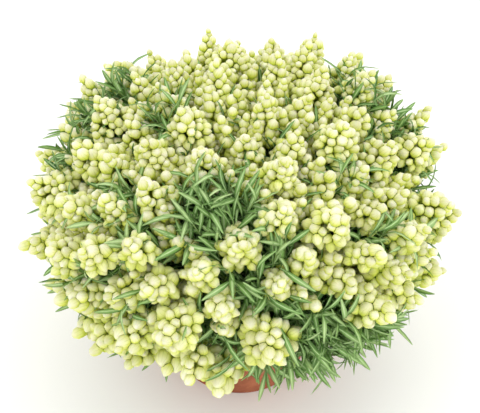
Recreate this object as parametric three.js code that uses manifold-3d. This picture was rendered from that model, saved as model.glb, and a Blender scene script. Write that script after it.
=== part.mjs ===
// Potted Silene ampullata: a domed perennial whose leafy stems end in heads of pale, inflated
// calyces, growing in a plain clay pan. Millimetres, +Z up. The origin is the centre of the
// pan's base, and the side with the bare leafy patch faces -Y.

import * as THREE from "three";
import { ConvexHull } from "three/addons/math/ConvexHull.js";
import { mergeVertices } from "three/addons/utils/BufferGeometryUtils.js";
import Module from "manifold-3d";

const wasm = await Module();
wasm.setup();

// Driving dimensions
const CLEARANCE = 0.35; // between pieces that lie against each other
const PASSING = 0.5; // round a leaf or a stem that passes another piece

const POT = {
  height: 104,
  rimRadius: 96,
  rimHeight: 24,
  bodyTopRadius: 89,
  baseRadius: 69,
  wall: 9,
  floor: 9,
  edge: 2,
  sides: 24,
};
const DRAIN = { count: 3, radius: 5, ring: 40, sides: 6, first: Math.PI / 2 };
const SOIL = { level: 92, shoulder: 4, sides: 24 };

// The dome of shoot tips, and how far above the horizon its leafy patch is looked at from
const MOUND = { z: 214, halfWidth: 202, halfDepth: 190, halfHeight: 134, boxiness: 0.85 };
const SIGHT = THREE.MathUtils.degToRad(45);

// Spirals of slots down the dome: for tips with heads, for the stems below them, for branches
// and for leafy twigs, and a ring of slots for the twigs that hang below its edge
const TIPS = { slots: 134, sineJitter: 0.01, turnJitter: 0.1, reachJitter: 0.13, lean: 0.2 };
const FORKS = { slots: 44, drop: 13, stub: 8, side: 0.45 };
const BRANCHES = { slots: 12, holeRing: 60, trunkRadius: 3.8, sides: 6, depth: 34, rise: 10, share: 0.8 };
const TWIGS = { slots: 318, length: 50, radius: 1.5, endRadius: 1, steps: 2, from: [0.9, 0.75, 0.6] };
const SKIRT = { slots: 11, sine: -0.8, share: 0.92, first: 0.2 };
const SPIRAL = { lowestSine: -0.62, crowding: 1.25 };

// Leafy patches without heads, as ellipses in the plane of sight: x, y, half width, half height
const BARE_PATCHES = [
  [-22, -8, 40, 34],
  [16, -60, 40, 42],
  [85, -146, 112, 48],
];

// Slots inside the patches that carry a head all the same
const LONE_HEADS = [36, 57, 91];

const HEAD = { length: 44, lengthSpread: 14, radius: 30, spacing: 0.86, widest: 0.55, taper: 0.35 };
const BEADS = { count: 6, span: 1.85, valley: 0.62, crown: 0.36, crownSides: 3 };
const PEDUNCLE = { radius: 2, sideRadius: 0.9, sides: 3 };
const STEM = { radius: 2.4, endRadius: 1.9, sides: 3, steps: 3, upright: 20, spread: 0.25, straight: 40 };
const SWERVE = { tries: 24, step: 5 };
const LEAF = { length: 44, width: 8, thickness: 1.5, arch: 3.5, sunk: 0.8, widest: 0.42, thickest: 0.25 };
const ROOTED = 0.01; // the least volume of a leaf that its stem must hold
const LEAF_ANGLE = THREE.MathUtils.degToRad(46);
const STEM_LEAVES = { count: 2, from: 0.7, to: 0.94 };
const TWIG_LEAVES = { count: 4, from: 0.4, to: 0.97 };

const GOLDEN_ANGLE = Math.PI * (3 - Math.sqrt(5));
const LAYOUT_SEED = 20831;
const MERGE = 1e-3;
const UP = new THREE.Vector3(0, 0, 1);

// Materials
const MATERIALS = {
  clay: new THREE.MeshStandardMaterial({ color: 0xb5694a, roughness: 0.85, metalness: 0 }),
  soil: new THREE.MeshStandardMaterial({ color: 0x3a2b20, roughness: 1, metalness: 0 }),
  leaf: new THREE.MeshStandardMaterial({ color: 0x4f8a3c, roughness: 0.6, metalness: 0 }),
  calyx: new THREE.MeshStandardMaterial({ color: 0xdfe28a, roughness: 0.5, metalness: 0 }),
};

// Solids
function solidOf(geometry) {
  const bare = new THREE.BufferGeometry().setAttribute("position", geometry.getAttribute("position"));
  if (geometry.index) bare.setIndex(geometry.index);
  const merged = mergeVertices(bare, MERGE);
  const index = merged.index.array;
  const triangles = [];
  for (let i = 0; i < index.length; i += 3) {
    const [a, b, c] = [index[i], index[i + 1], index[i + 2]];
    if (a !== b && b !== c && c !== a) triangles.push(a, b, c);
  }
  const vertProperties = merged.attributes.position.array;
  const made = (triVerts) => new wasm.Manifold(new wasm.Mesh({ numProp: 3, vertProperties, triVerts }));
  const solid = made(new Uint32Array(triangles));
  return solid.volume() > 0 ? solid : made(new Uint32Array(triangles.reverse()));
}

function fused(solids) {
  return solids.reduce((whole, piece) => whole.add(piece));
}

function meshOf(name, solid, material) {
  const { numProp, vertProperties, triVerts } = solid.getMesh();
  const positions = new Float32Array((vertProperties.length / numProp) * 3);
  for (let i = 0; i < positions.length / 3; i++) {
    positions.set(vertProperties.subarray(i * numProp, i * numProp + 3), i * 3);
  }
  const geometry = new THREE.BufferGeometry()
    .setAttribute("position", new THREE.BufferAttribute(positions, 3))
    .setIndex(new THREE.BufferAttribute(triVerts, 1));
  geometry.computeVertexNormals();
  const mesh = new THREE.Mesh(geometry, material.clone());
  mesh.name = name;
  return mesh;
}

function numbered(name, index) {
  return `${name}_${String(index + 1).padStart(2, "0")}`;
}

// Points and triangles of one closed surface
class Shell {
  points = [];
  triangles = [];

  ring(places) {
    return places.map((place) => this.points.push(place) - 1);
  }

  // Triangles between two closed rings that run the same way
  band(lower, upper) {
    let [i, j] = [0, 0];
    while (i < lower.length || j < upper.length) {
      const stepLower = (i + 1) / lower.length <= (j + 1) / upper.length;
      const [a, b] = [lower[i % lower.length], upper[j % upper.length]];
      if (stepLower) this.triangles.push(a, lower[++i % lower.length], b);
      else this.triangles.push(a, upper[++j % upper.length], b);
    }
  }

  cap(ring) {
    for (let i = 2; i < ring.length; i++) this.triangles.push(ring[0], ring[i - 1], ring[i]);
  }

  solid() {
    const positions = this.points.flatMap((point) => point.toArray());
    const geometry = new THREE.BufferGeometry()
      .setAttribute("position", new THREE.Float32BufferAttribute(positions, 3))
      .setIndex(this.triangles);
    return solidOf(geometry);
  }
}

function turned(profile, sides) {
  const points = profile.map(([radius, z]) => new THREE.Vector2(radius, z));
  return solidOf(new THREE.LatheGeometry(points, sides).rotateX(Math.PI / 2));
}

function post(radius, fromZ, toZ, sides, [x, y]) {
  const geometry = new THREE.CylinderGeometry(radius, radius, toZ - fromZ, sides)
    .rotateX(Math.PI / 2)
    .translate(x, y, (fromZ + toZ) / 2);
  return solidOf(geometry);
}

// Directions
function sideways(axis, angle) {
  const helper = Math.abs(axis.z) < 0.9 ? UP : new THREE.Vector3(1, 0, 0);
  return helper.clone().cross(axis).normalize().applyAxisAngle(axis, angle);
}

function ringAbout(axis, count, start) {
  return Array.from({ length: count }, (_, i) => sideways(axis, start + (i / count) * 2 * Math.PI));
}

function angleRound(axis, direction) {
  const across = sideways(axis, 0);
  return Math.atan2(direction.dot(axis.clone().cross(across)), direction.dot(across));
}

function average(vectors) {
  return vectors.reduce((sum, v) => sum.add(v), new THREE.Vector3()).divideScalar(vectors.length);
}

function nearestOf(place, places) {
  const distances = places.map((other) => place.distanceTo(other));
  return distances.indexOf(Math.min(...distances));
}

// Rods along curves, which keep the stations that the rod is built through
function stationed(curve, steps) {
  curve.stations = curve.getSpacedPoints(steps);
  return curve;
}

function pointOn(curve, along) {
  const reach = along * (curve.stations.length - 1);
  const station = Math.min(Math.floor(reach), curve.stations.length - 2);
  return curve.stations[station].clone().lerp(curve.stations[station + 1], reach - station);
}

function frameAt(curve, along) {
  const steps = curve.stations.length - 1;
  const station = Math.min(Math.floor(along * steps), steps - 1);
  const { normals, binormals } = curve.computeFrenetFrames(steps);
  const tangent = curve.stations[station + 1].clone().sub(curve.stations[station]).normalize();
  const normal = normals[station].clone().add(normals[station + 1]).normalize();
  const binormal = binormals[station].clone().add(binormals[station + 1]).normalize();
  return { normal, binormal, tangent };
}

function rod(curve, startRadius, endRadius) {
  const steps = curve.stations.length - 1;
  const geometry = new THREE.CylinderGeometry(endRadius, startRadius, 1, STEM.sides, steps);
  const { normals, binormals } = curve.computeFrenetFrames(steps);
  const position = geometry.getAttribute("position");
  for (let i = 0; i < position.count; i++) {
    const station = Math.round((position.getY(i) + 0.5) * steps);
    const place = curve.stations[station]
      .clone()
      .addScaledVector(normals[station], position.getX(i))
      .addScaledVector(binormals[station], position.getZ(i));
    position.setXYZ(i, place.x, place.y, place.z);
  }
  return solidOf(geometry);
}

// Places on the dome
function onMound(sine, turn, share) {
  const boxed = (value) => Math.sign(value) * Math.pow(Math.abs(value), MOUND.boxiness);
  const out = share * boxed(Math.sqrt(1 - sine * sine));
  return new THREE.Vector3(
    MOUND.halfWidth * out * boxed(Math.cos(turn)),
    MOUND.halfDepth * out * boxed(Math.sin(turn)),
    MOUND.z + MOUND.halfHeight * share * boxed(sine),
  );
}

// The height of slot k of a spiral from the top of the dome down, closer together at the top
function slotSine(k, count) {
  const share = (k + 0.5) / count;
  return 1 - Math.pow(share, SPIRAL.crowding) * (1 - SPIRAL.lowestSine);
}

function slotsOnMound(count, share) {
  return Array.from({ length: count }, (_, k) => onMound(slotSine(k, count), k * GOLDEN_ANGLE, share));
}

function isBare(place) {
  const up = place.z - MOUND.z;
  const seenY = up * Math.cos(SIGHT) + place.y * Math.sin(SIGHT);
  const towards = up * Math.sin(SIGHT) - place.y * Math.cos(SIGHT);
  const inside = ([x, y, halfX, halfY]) => Math.hypot((place.x - x) / halfX, (seenY - y) / halfY) < 1;
  return towards > 0 && BARE_PATCHES.some(inside);
}

// A shoot tip points half away from the dome's surface and half away from the soil, and leans a
// little to one side
function tipAt(place, length, turn, lean = new THREE.Vector3()) {
  const normal = new THREE.Vector3(
    place.x / MOUND.halfWidth ** 2,
    place.y / MOUND.halfDepth ** 2,
    (place.z - MOUND.z) / MOUND.halfHeight ** 2,
  ).normalize();
  const fromSoil = place.clone().sub(new THREE.Vector3(0, 0, SOIL.level)).normalize();
  const axis = normal.add(fromSoil).normalize().add(lean).normalize();
  return { place, axis, length, turn, base: place.clone().addScaledVector(axis, -length) };
}

function seededDraws(seed) {
  let state = seed;
  return () => {
    state = (state * 1664525 + 1013904223) % 4294967296;
    return state / 4294967296;
  };
}

// Heads grow until they all but touch
function setRadii(heads) {
  const middle = (tip) => tip.place.clone().addScaledVector(tip.axis, -HEAD.widest * tip.length);
  const gapsOf = (head, shrink) =>
    heads
      .filter((other) => other !== head)
      .map((other) => middle(other).distanceTo(middle(head)) - shrink(other));
  for (const head of heads) head.radius = Math.min(...gapsOf(head, () => 0)) / 2;
  for (const head of heads) {
    head.radius = Math.min(HEAD.radius, ...gapsOf(head, (other) => other.radius)) * HEAD.spacing;
  }
}

function shootTips() {
  const draw = seededDraws(LAYOUT_SEED);
  const tips = [];
  for (let k = 0; k < TIPS.slots; k++) {
    const sine = slotSine(k, TIPS.slots) + (draw() - 0.5) * TIPS.sineJitter;
    const turn = k * GOLDEN_ANGLE + (draw() - 0.5) * TIPS.turnJitter;
    const place = onMound(sine, turn, 1 + (draw() - 0.5) * TIPS.reachJitter);
    const length = HEAD.length + draw() * HEAD.lengthSpread;
    const lean = new THREE.Vector3(draw() - 0.5, draw() - 0.5, draw() - 0.5).multiplyScalar(TIPS.lean);
    tips.push(tipAt(place, length, k, lean));
  }
  setRadii(tips.filter((tip) => LONE_HEADS.includes(tip.turn) || !isBare(tip.place)));
  return tips;
}

// Tips that share a stem, with the fork below them; only tips with a radius carry a head
function stemForks(tips) {
  const anchors = slotsOnMound(FORKS.slots, 1);
  const members = anchors.map(() => []);
  for (const tip of tips) members[nearestOf(tip.place, anchors)].push(tip);
  return members
    .filter((own) => own.length)
    .map((own) => {
      const axis = average(own.map((tip) => tip.axis)).normalize();
      const place = average(own.map((tip) => tip.base)).addScaledVector(axis, -FORKS.drop);
      const heads = own.filter((tip) => tip.radius);
      const main = heads[nearestOf(place, heads.map((tip) => tip.base))];
      return { heads, main, axis, place, foot: place.clone().addScaledVector(axis, -FORKS.stub) };
    });
}

// Pot
function potSolid() {
  const { height, rimRadius, rimHeight, bodyTopRadius, baseRadius, wall, floor, edge, sides } = POT;
  const ledge = height - rimHeight;
  const clay = turned(
    [
      [0, 0],
      [baseRadius - edge, 0],
      [baseRadius, edge],
      [bodyTopRadius, ledge],
      [rimRadius, ledge],
      [rimRadius, height - edge],
      [rimRadius - edge, height],
      [rimRadius - wall + edge, height],
      [rimRadius - wall, height - edge],
      [rimRadius - wall, ledge],
      [baseRadius - wall, floor],
      [0, floor],
    ],
    sides,
  );
  const drains = Array.from({ length: DRAIN.count }, (_, i) => {
    const turn = (i / DRAIN.count) * 2 * Math.PI + DRAIN.first;
    const centre = [DRAIN.ring * Math.cos(turn), DRAIN.ring * Math.sin(turn)];
    return post(DRAIN.radius, -edge, floor + edge, DRAIN.sides, centre);
  });
  return clay.subtract(fused(drains));
}

// Soil, with a plain hole for each branch
function soilSolid(holes) {
  const ledge = POT.height - POT.rimHeight;
  const bottom = POT.floor + CLEARANCE;
  const flat = Math.cos(Math.PI / POT.sides);
  const lower = (POT.baseRadius - POT.wall - CLEARANCE) * flat;
  const upper = (POT.rimRadius - POT.wall - CLEARANCE) * flat;
  const body = turned(
    [
      [0, bottom],
      [lower, bottom],
      [upper, ledge],
      [upper, SOIL.level - SOIL.shoulder],
      [0, SOIL.level],
    ],
    SOIL.sides,
  );
  const holeRadius = BRANCHES.trunkRadius + CLEARANCE / Math.cos(Math.PI / BRANCHES.sides);
  const cuts = holes.map((hole) =>
    post(holeRadius, SOIL.level - BRANCHES.depth, SOIL.level + BRANCHES.rise, BRANCHES.sides, hole),
  );
  return body.subtract(fused(cuts));
}

// The directions of a head's beads, spiralling down from its tip, after that of its neck
function beadDirections(turn) {
  const directions = [new THREE.Vector3(0, 0, -1)];
  for (let i = 0; i < BEADS.count; i++) {
    const z = 1 - (i / BEADS.count) * BEADS.span;
    const out = Math.sqrt(1 - z * z);
    const angle = turn + i * GOLDEN_ANGLE;
    directions.push(new THREE.Vector3(out * Math.cos(angle), out * Math.sin(angle), z));
  }
  return directions;
}

// Where three beads meet, for each face of the hull of their directions
function valleysBetween(directions) {
  return new ConvexHull().setFromPoints(directions).faces.map((face, index) => ({
    index,
    normal: face.normal,
    beads: [0, 1, 2].map((i) => directions.indexOf(face.getEdge(i).head().point)),
  }));
}

// From a head's own directions to places: an egg with its narrow end outwards
function headFrame(tip) {
  const across = sideways(tip.axis, 0);
  const frame = new THREE.Matrix4().makeBasis(
    across.clone().multiplyScalar(tip.radius),
    tip.axis.clone().cross(across).multiplyScalar(tip.radius),
    tip.axis.clone().multiplyScalar(tip.length / 2),
  );
  frame.setPosition(tip.place.clone().addScaledVector(tip.axis, -tip.length / 2));
  return frame;
}

function onHead(frame, direction, share) {
  const girth = 1 - HEAD.taper * direction.z;
  const { x, y, z } = direction.clone().normalize().multiplyScalar(share);
  return new THREE.Vector3(x * girth, y * girth, z).applyMatrix4(frame);
}

// The neck of a fork's main head runs on to its foot, and the others run into its side
function addNeck(shell, valleyRing, start, tip, fork) {
  const isMain = tip === fork.main;
  const joint = isMain ? fork.place : fork.place.clone().lerp(fork.main.base, FORKS.side);
  const down = joint.clone().sub(tip.base).normalize();
  const offsets = ringAbout(down, PEDUNCLE.sides, angleRound(down, start));
  const ringAt = (centre, radius) => offsets.map((v) => centre.clone().addScaledVector(v, radius));
  const top = shell.ring(ringAt(tip.base, PEDUNCLE.radius));
  const end = shell.ring(ringAt(joint, isMain ? PEDUNCLE.radius : PEDUNCLE.sideRadius));
  shell.band(valleyRing, top);
  shell.band(top, end);
  if (!isMain) {
    shell.cap(end);
    return;
  }
  const footDown = fork.axis.clone().negate();
  const square = ringAbout(footDown, PEDUNCLE.sides, angleRound(footDown, offsets[0]));
  const foot = shell.ring(square.map((v) => fork.foot.clone().addScaledVector(v, PEDUNCLE.radius)));
  shell.band(end, foot);
  shell.cap(foot);
}

// A head of inflated calyces on its peduncle: one swollen bead round each direction
function headSolid(tip, fork) {
  const shell = new Shell();
  const frame = headFrame(tip);
  const directions = beadDirections(tip.turn);
  const valleys = valleysBetween(directions);
  shell.ring(valleys.map(({ normal }) => onHead(frame, normal, BEADS.valley)));
  directions.forEach((direction, bead) => {
    const around = valleys
      .filter(({ beads }) => beads.includes(bead))
      .map(({ normal, index }) => ({ index, angle: angleRound(direction, normal) }))
      .sort((a, b) => a.angle - b.angle);
    const valleyRing = around.map(({ index }) => index);
    const across = ringAbout(direction, BEADS.crownSides, around[0].angle);
    if (bead === 0) {
      addNeck(shell, valleyRing, across[0].transformDirection(frame), tip, fork);
      return;
    }
    const crown = across.map((v) => onHead(frame, v.multiplyScalar(BEADS.crown).add(direction), 1));
    const crownRing = shell.ring(crown);
    shell.band(valleyRing, crownRing);
    shell.cap(crownRing);
  });
  return shell.solid();
}

function flowerSolid(fork) {
  return fork.main ? fused(fork.heads.map((tip) => headSolid(tip, fork))) : null;
}

// What is already in place: stems bend round it and leaves keep off it
const placed = [];

function place(owner, solid) {
  placed.push({ owner, solid });
  return solid;
}

function isClear(probe, owners) {
  return placed.every(({ owner, solid }) => owners.includes(owner) || probe.intersect(solid).isEmpty());
}

// One leaf: a pointed blade, flat above and keeled below, with its root sunk in the stem
function leafSolid(root, direction, tangent, grown) {
  const { length, width, thickness, arch, widest, thickest } = LEAF;
  const across = direction.clone().cross(tangent).normalize();
  const lift = across.clone().cross(direction).normalize();
  const at = (along, aside, up) =>
    root.clone().addScaledVector(direction, along).addScaledVector(across, aside).addScaledVector(lift, up);
  const shell = new Shell();
  const [foot, point] = shell.ring([at(-grown, 0, 0), at(length + grown, 0, 0)]);
  const [left, right, keel] = shell.ring([
    at(widest * length, width / 2 + 2 * grown, arch + grown),
    at(widest * length, -width / 2 - 2 * grown, arch + grown),
    at(thickest * length, 0, (arch * thickest) / widest - thickness - 2 * grown),
  ]);
  shell.triangles.push(foot, left, right, foot, right, keel, foot, keel, left);
  shell.triangles.push(point, right, left, point, keel, right, point, left, keel);
  return shell.solid();
}

// Leaves on the flats of a stem, each moved to the next flat until it is clear of the rest
function leavesOn(stem, solid, owner, leafing, turn) {
  const leaves = [];
  for (let i = 0; i < leafing.count; i++) {
    const along = THREE.MathUtils.lerp(leafing.from, leafing.to, i / (leafing.count - 1));
    const { normal, binormal, tangent } = frameAt(stem, along);
    for (let attempt = 0; attempt < STEM.sides; attempt++) {
      const flat = ((turn + i + attempt + 0.5) / STEM.sides) * 2 * Math.PI;
      const direction = tangent
        .clone()
        .multiplyScalar(Math.cos(LEAF_ANGLE))
        .addScaledVector(normal, Math.sin(flat) * Math.sin(LEAF_ANGLE))
        .addScaledVector(binormal, Math.cos(flat) * Math.sin(LEAF_ANGLE));
      const root = pointOn(stem, along).addScaledVector(direction, -LEAF.sunk);
      const leaf = leafSolid(root, direction, tangent, 0);
      const isRooted = leaf.intersect(solid).volume() > ROOTED;
      if (isRooted && isClear(leafSolid(root, direction, tangent, PASSING), [owner])) {
        leaves.push(place("leaf", leaf));
        break;
      }
    }
  }
  return leaves;
}

// The first of a row of curves, each with more swerve, that is clear of the other pieces
function clearCurve(curveWith, { radius, endRadius }, owners, carried) {
  for (let i = 0; i < SWERVE.tries; i++) {
    const curve = curveWith(sideways(UP, i * GOLDEN_ANGLE).multiplyScalar(i * SWERVE.step));
    const isOff = !carried || rod(curve, radius, endRadius).intersect(carried).isEmpty();
    if (isOff && isClear(rod(curve, radius + PASSING, endRadius + PASSING), owners)) return curve;
  }
  return null;
}

function stemTo(fork, [x, y], owners, carried) {
  const start = new THREE.Vector3(x, y, SOIL.level + BRANCHES.rise / 2);
  const end = fork.foot.clone().addScaledVector(fork.axis, -CLEARANCE);
  const rise = start.clone().lerp(end, STEM.spread).addScaledVector(UP, STEM.upright);
  const curveWith = (swerve) => {
    const bend = end.clone().addScaledVector(fork.axis, -STEM.straight).add(swerve);
    return stationed(new THREE.CubicBezierCurve3(start, rise, bend, end), STEM.steps);
  };
  return clearCurve(curveWith, STEM, owners, carried);
}

// A leafy twig from a stem up to a bare place on the dome
function twigTo(tip, stem) {
  const end = tip.base.clone().lerp(tip.place, 0.5);
  for (const from of TWIGS.from) {
    const start = pointOn(stem.curve, from);
    const curveWith = (swerve) =>
      stationed(new THREE.QuadraticBezierCurve3(start, tip.base.clone().add(swerve), end), TWIGS.steps);
    const curve = clearCurve(curveWith, TWIGS, [stem.name, stem.twigs], null);
    if (curve) return curve;
  }
  return null;
}

// The whole plant
const forks = stemForks(shootTips());
const branchPlaces = slotsOnMound(BRANCHES.slots, BRANCHES.share);
const holes = slotsOnMound(BRANCHES.slots, 1).map(({ x, y }) => [
  (x / MOUND.halfWidth) * BRANCHES.holeRing,
  (y / MOUND.halfDepth) * BRANCHES.holeRing,
]);

const pot = place("pot", potSolid());
const soil = place("soil", soilSolid(holes));
const flowers = forks.map((fork, i) => {
  const solid = flowerSolid(fork);
  return solid ? place(`flowers ${i}`, solid) : null;
});
const branches = holes.map((hole, i) => {
  const bottom = SOIL.level - BRANCHES.depth + CLEARANCE;
  const trunk = post(BRANCHES.trunkRadius, bottom, SOIL.level + BRANCHES.rise, BRANCHES.sides, hole);
  return [place(`trunk ${i}`, trunk)];
});

// Each stem grows from the nearest branch that it reaches clear of the others
function grownStem(fork, i) {
  const byDistance = branchPlaces
    .map((other, branch) => ({ branch, distance: other.distanceTo(fork.place) }))
    .sort((a, b) => a.distance - b.distance);
  for (const { branch } of byDistance) {
    const siblings = forks.map((_, other) => `stem ${other} of ${branch}`);
    const owners = [...siblings, `trunk ${branch}`, `flowers ${i}`, "soil"];
    const curve = stemTo(fork, holes[branch], owners, flowers[i]);
    if (curve) {
      const solid = place(`stem ${i} of ${branch}`, rod(curve, STEM.radius, STEM.endRadius));
      branches[branch].push(solid);
      return { branch, curve, solid, name: `stem ${i} of ${branch}`, twigs: `twigs of ${i}` };
    }
  }
  throw new Error(`no clear way for stem ${i}`);
}

const stems = forks.map(grownStem);
const stemTops = stems.map(({ curve }) => pointOn(curve, TWIGS.from[0]));

const barePlaces = slotsOnMound(TWIGS.slots, 1).filter(isBare);
const skirtPlaces = Array.from({ length: SKIRT.slots }, (_, i) =>
  onMound(SKIRT.sine, ((i + SKIRT.first) / SKIRT.slots) * 2 * Math.PI, SKIRT.share),
);

for (const [k, bare] of [...barePlaces, ...skirtPlaces].entries()) {
  const tip = tipAt(bare, TWIGS.length, k);
  const stem = stems[nearestOf(tip.base, stemTops)];
  const twig = twigTo(tip, stem);
  if (!twig) continue;
  const solid = place(stem.twigs, rod(twig, TWIGS.radius, TWIGS.endRadius));
  branches[stem.branch].push(solid, ...leavesOn(twig, solid, stem.twigs, TWIG_LEAVES, tip.turn));
}

stems.forEach(({ branch, curve, solid, name }, i) => {
  branches[branch].push(...leavesOn(curve, solid, name, STEM_LEAVES, i));
});

const group = new THREE.Group();
group.add(meshOf("clay_pan", pot, MATERIALS.clay));
group.add(meshOf("soil", soil, MATERIALS.soil));
branches.forEach((solids, i) => {
  group.add(meshOf(numbered("leafy_branch", i), fused(solids), MATERIALS.leaf));
});
flowers
  .filter((solid) => solid)
  .forEach((solid, i) => {
    group.add(meshOf(numbered("flower_heads", i), solid, MATERIALS.calyx));
  });

export default group;
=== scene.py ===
"""Potted Silene ampullata: fine calyces, leaves, stems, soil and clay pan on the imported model.

Lengths are metres. The origin is the centre of the pan's base, +Z is up, and the side with the
bare leafy patch faces -Y.
"""

import logging
import math
import random
from collections.abc import Callable, Iterable
from dataclasses import dataclass, field, replace
from enum import Enum
from typing import ClassVar

import bmesh
import bpy
import numpy as np
from mathutils import Matrix, Vector
from mathutils.kdtree import KDTree


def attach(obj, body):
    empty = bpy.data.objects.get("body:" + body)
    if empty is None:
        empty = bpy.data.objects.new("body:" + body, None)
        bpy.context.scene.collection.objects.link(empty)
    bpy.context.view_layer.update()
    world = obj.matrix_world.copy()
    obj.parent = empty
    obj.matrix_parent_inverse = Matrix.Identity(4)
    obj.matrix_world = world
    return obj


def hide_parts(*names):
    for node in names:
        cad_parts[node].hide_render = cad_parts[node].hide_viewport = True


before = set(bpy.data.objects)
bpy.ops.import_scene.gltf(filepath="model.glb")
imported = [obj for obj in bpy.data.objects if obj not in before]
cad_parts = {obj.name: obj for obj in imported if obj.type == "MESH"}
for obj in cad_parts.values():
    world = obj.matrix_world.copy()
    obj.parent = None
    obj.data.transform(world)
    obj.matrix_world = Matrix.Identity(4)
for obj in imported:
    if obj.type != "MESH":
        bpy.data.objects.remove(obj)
log = logging.getLogger("silene")
Socket = bpy.types.NodeSocket

MM = 0.001
UP = Vector((0, 0, 1))
GOLDEN_ANGLE = math.pi * (3 - math.sqrt(5))
STEEP = 0.9
PLAIN_UV = (0.5, 0.5)
PAIR_STEP = 9 * MM


class Hue(Enum):
    """The plant's, the pan's and the stage's colours, as seen in even light, with painted shade and a painted
    highlight among the calyx colours.
    """

    # Painted highlight on the calyces' mouths and upward faces.
    CREAM = "#EBE9CC"
    LIME = "#E7E8A3"
    CITRON = "#DEE468"
    OLIVE = "#BCCC48"
    # Painted shade for calyces towards their heads' base.
    MOSS = "#90AC48"
    # Painted shade for the creases between calyces.
    CREASE = "#587A2A"
    PEDUNCLE = "#8AA550"
    VEIN = "#B2BC5E"
    LEAF_PALE = "#BAD590"
    LEAF_MID = "#82AE5C"
    LEAF_DARK = "#35682E"
    MIDRIB = "#D6E6B4"
    STEM = "#8FAB66"
    CLAY = "#B9714F"
    CLAY_DARK = "#8F4F36"
    BLOOM = "#D9B9A2"
    HUMUS = "#2E2118"
    LOAM = "#5A4433"
    FLOOR = "#F7F7F5"

    @property
    def linear(self) -> tuple[float, float, float, float]:
        """The colour as the linear RGBA that node sockets hold."""
        channels = [int(self.value[i : i + 2], 16) / 255 for i in (1, 3, 5)]
        curve = [c / 12.92 if c <= 0.04045 else ((c + 0.055) / 1.055) ** 2.4 for c in channels]
        return (*curve, 1.0)


class Slot(Enum):
    """The record's material slots."""

    CLAY = "clay"
    SOIL = "soil"
    LEAF = "leaf"
    CALYX = "calyx"


# Directions and curves


def sideways(axis: Vector, angle: float) -> Vector:
    """Find a direction square to an axis.

    Args:
        axis: The unit axis.
        angle: The turn about the axis from its level side.

    Returns:
        A unit vector square to the axis.
    """
    helper = UP if abs(axis.z) < STEEP else Vector((1, 0, 0))
    return Matrix.Rotation(angle, 3, axis) @ helper.cross(axis).normalized()


def direction_at(height: float, turn: float) -> Vector:
    """Find a unit direction.

    Args:
        height: Its height, from -1 to 1.
        turn: Its angle about +Z.

    Returns:
        The direction.
    """
    out = math.sqrt(max(0.0, 1 - height * height))
    return Vector((out * math.cos(turn), out * math.sin(turn), height))


def as_share(value: float) -> float:
    """Return a value held between 0 and 1."""
    return min(1.0, max(0.0, value))


def matrix_of(across: Vector, upper: Vector, along: Vector, root: Vector) -> Matrix:
    """Place a shape.

    Args:
        across: Its x, with its scale.
        upper: Its y, with its scale.
        along: Its z, with its scale.
        root: Its origin.

    Returns:
        The place, as a matrix.
    """
    matrix = Matrix((across, upper, along)).transposed().to_4x4()
    matrix.translation = root
    return matrix


def mean_of(vectors: Iterable[Vector]) -> Vector:
    """Return the mean of some vectors."""
    listed = list(vectors)
    return sum(listed, Vector()) / len(listed)


def nearest_of(place: Vector, places: list[Vector]) -> int:
    """Return the index of the place that is nearest to another."""
    return min(range(len(places)), key=lambda i: (places[i] - place).length)


class Course:
    """A smooth course through space that is walked by its length."""

    STEPS = 60

    def __init__(self, *controls: Vector) -> None:
        """Lay the course.

        Args:
            controls: The control points of one Bezier arc.
        """
        self.points = [self._on(controls, i / self.STEPS) for i in range(self.STEPS + 1)]
        lengths = [(b - a).length for a, b in zip(self.points, self.points[1:])]
        self.reached = np.concatenate([[0.0], np.cumsum(lengths)])

    @staticmethod
    def _on(controls: tuple[Vector, ...], share: float) -> Vector:
        """Find a point of a Bezier arc.

        Args:
            controls: The arc's control points.
            share: The share of its parameter.

        Returns:
            The point.
        """
        level = list(controls)
        while len(level) > 1:
            level = [a.lerp(b, share) for a, b in zip(level, level[1:])]
        return level[0]

    @property
    def length(self) -> float:
        """The whole length."""
        return float(self.reached[-1])

    def at(self, share: float) -> Vector:
        """Return the place at a share of the length."""
        goal = share * self.length
        return Vector([np.interp(goal, self.reached, [p[i] for p in self.points]) for i in range(3)])

    def heading(self, share: float) -> Vector:
        """Return the unit direction at a share of the length."""
        reach = 0.5 / self.STEPS
        return (self.at(min(1, share + reach)) - self.at(max(0, share - reach))).normalized()


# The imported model's layout


@dataclass(frozen=True)
class Oval:
    """A leafy place in the plane that faces the eye: its middle and half sizes, in millimetres."""

    x: float
    y: float
    half_x: float
    half_y: float

    def holds(self, seen: Vector, grown: float) -> bool:
        """Tell whether a place lies inside the oval.

        Args:
            seen: The place as it is seen, in metres.
            grown: The oval's size, as a share of its own.

        Returns:
            True inside it.
        """
        across = (seen.x - self.x * MM) / (self.half_x * MM)
        upright = (seen.y - self.y * MM) / (self.half_y * MM)
        return math.hypot(across, upright) < grown


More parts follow.
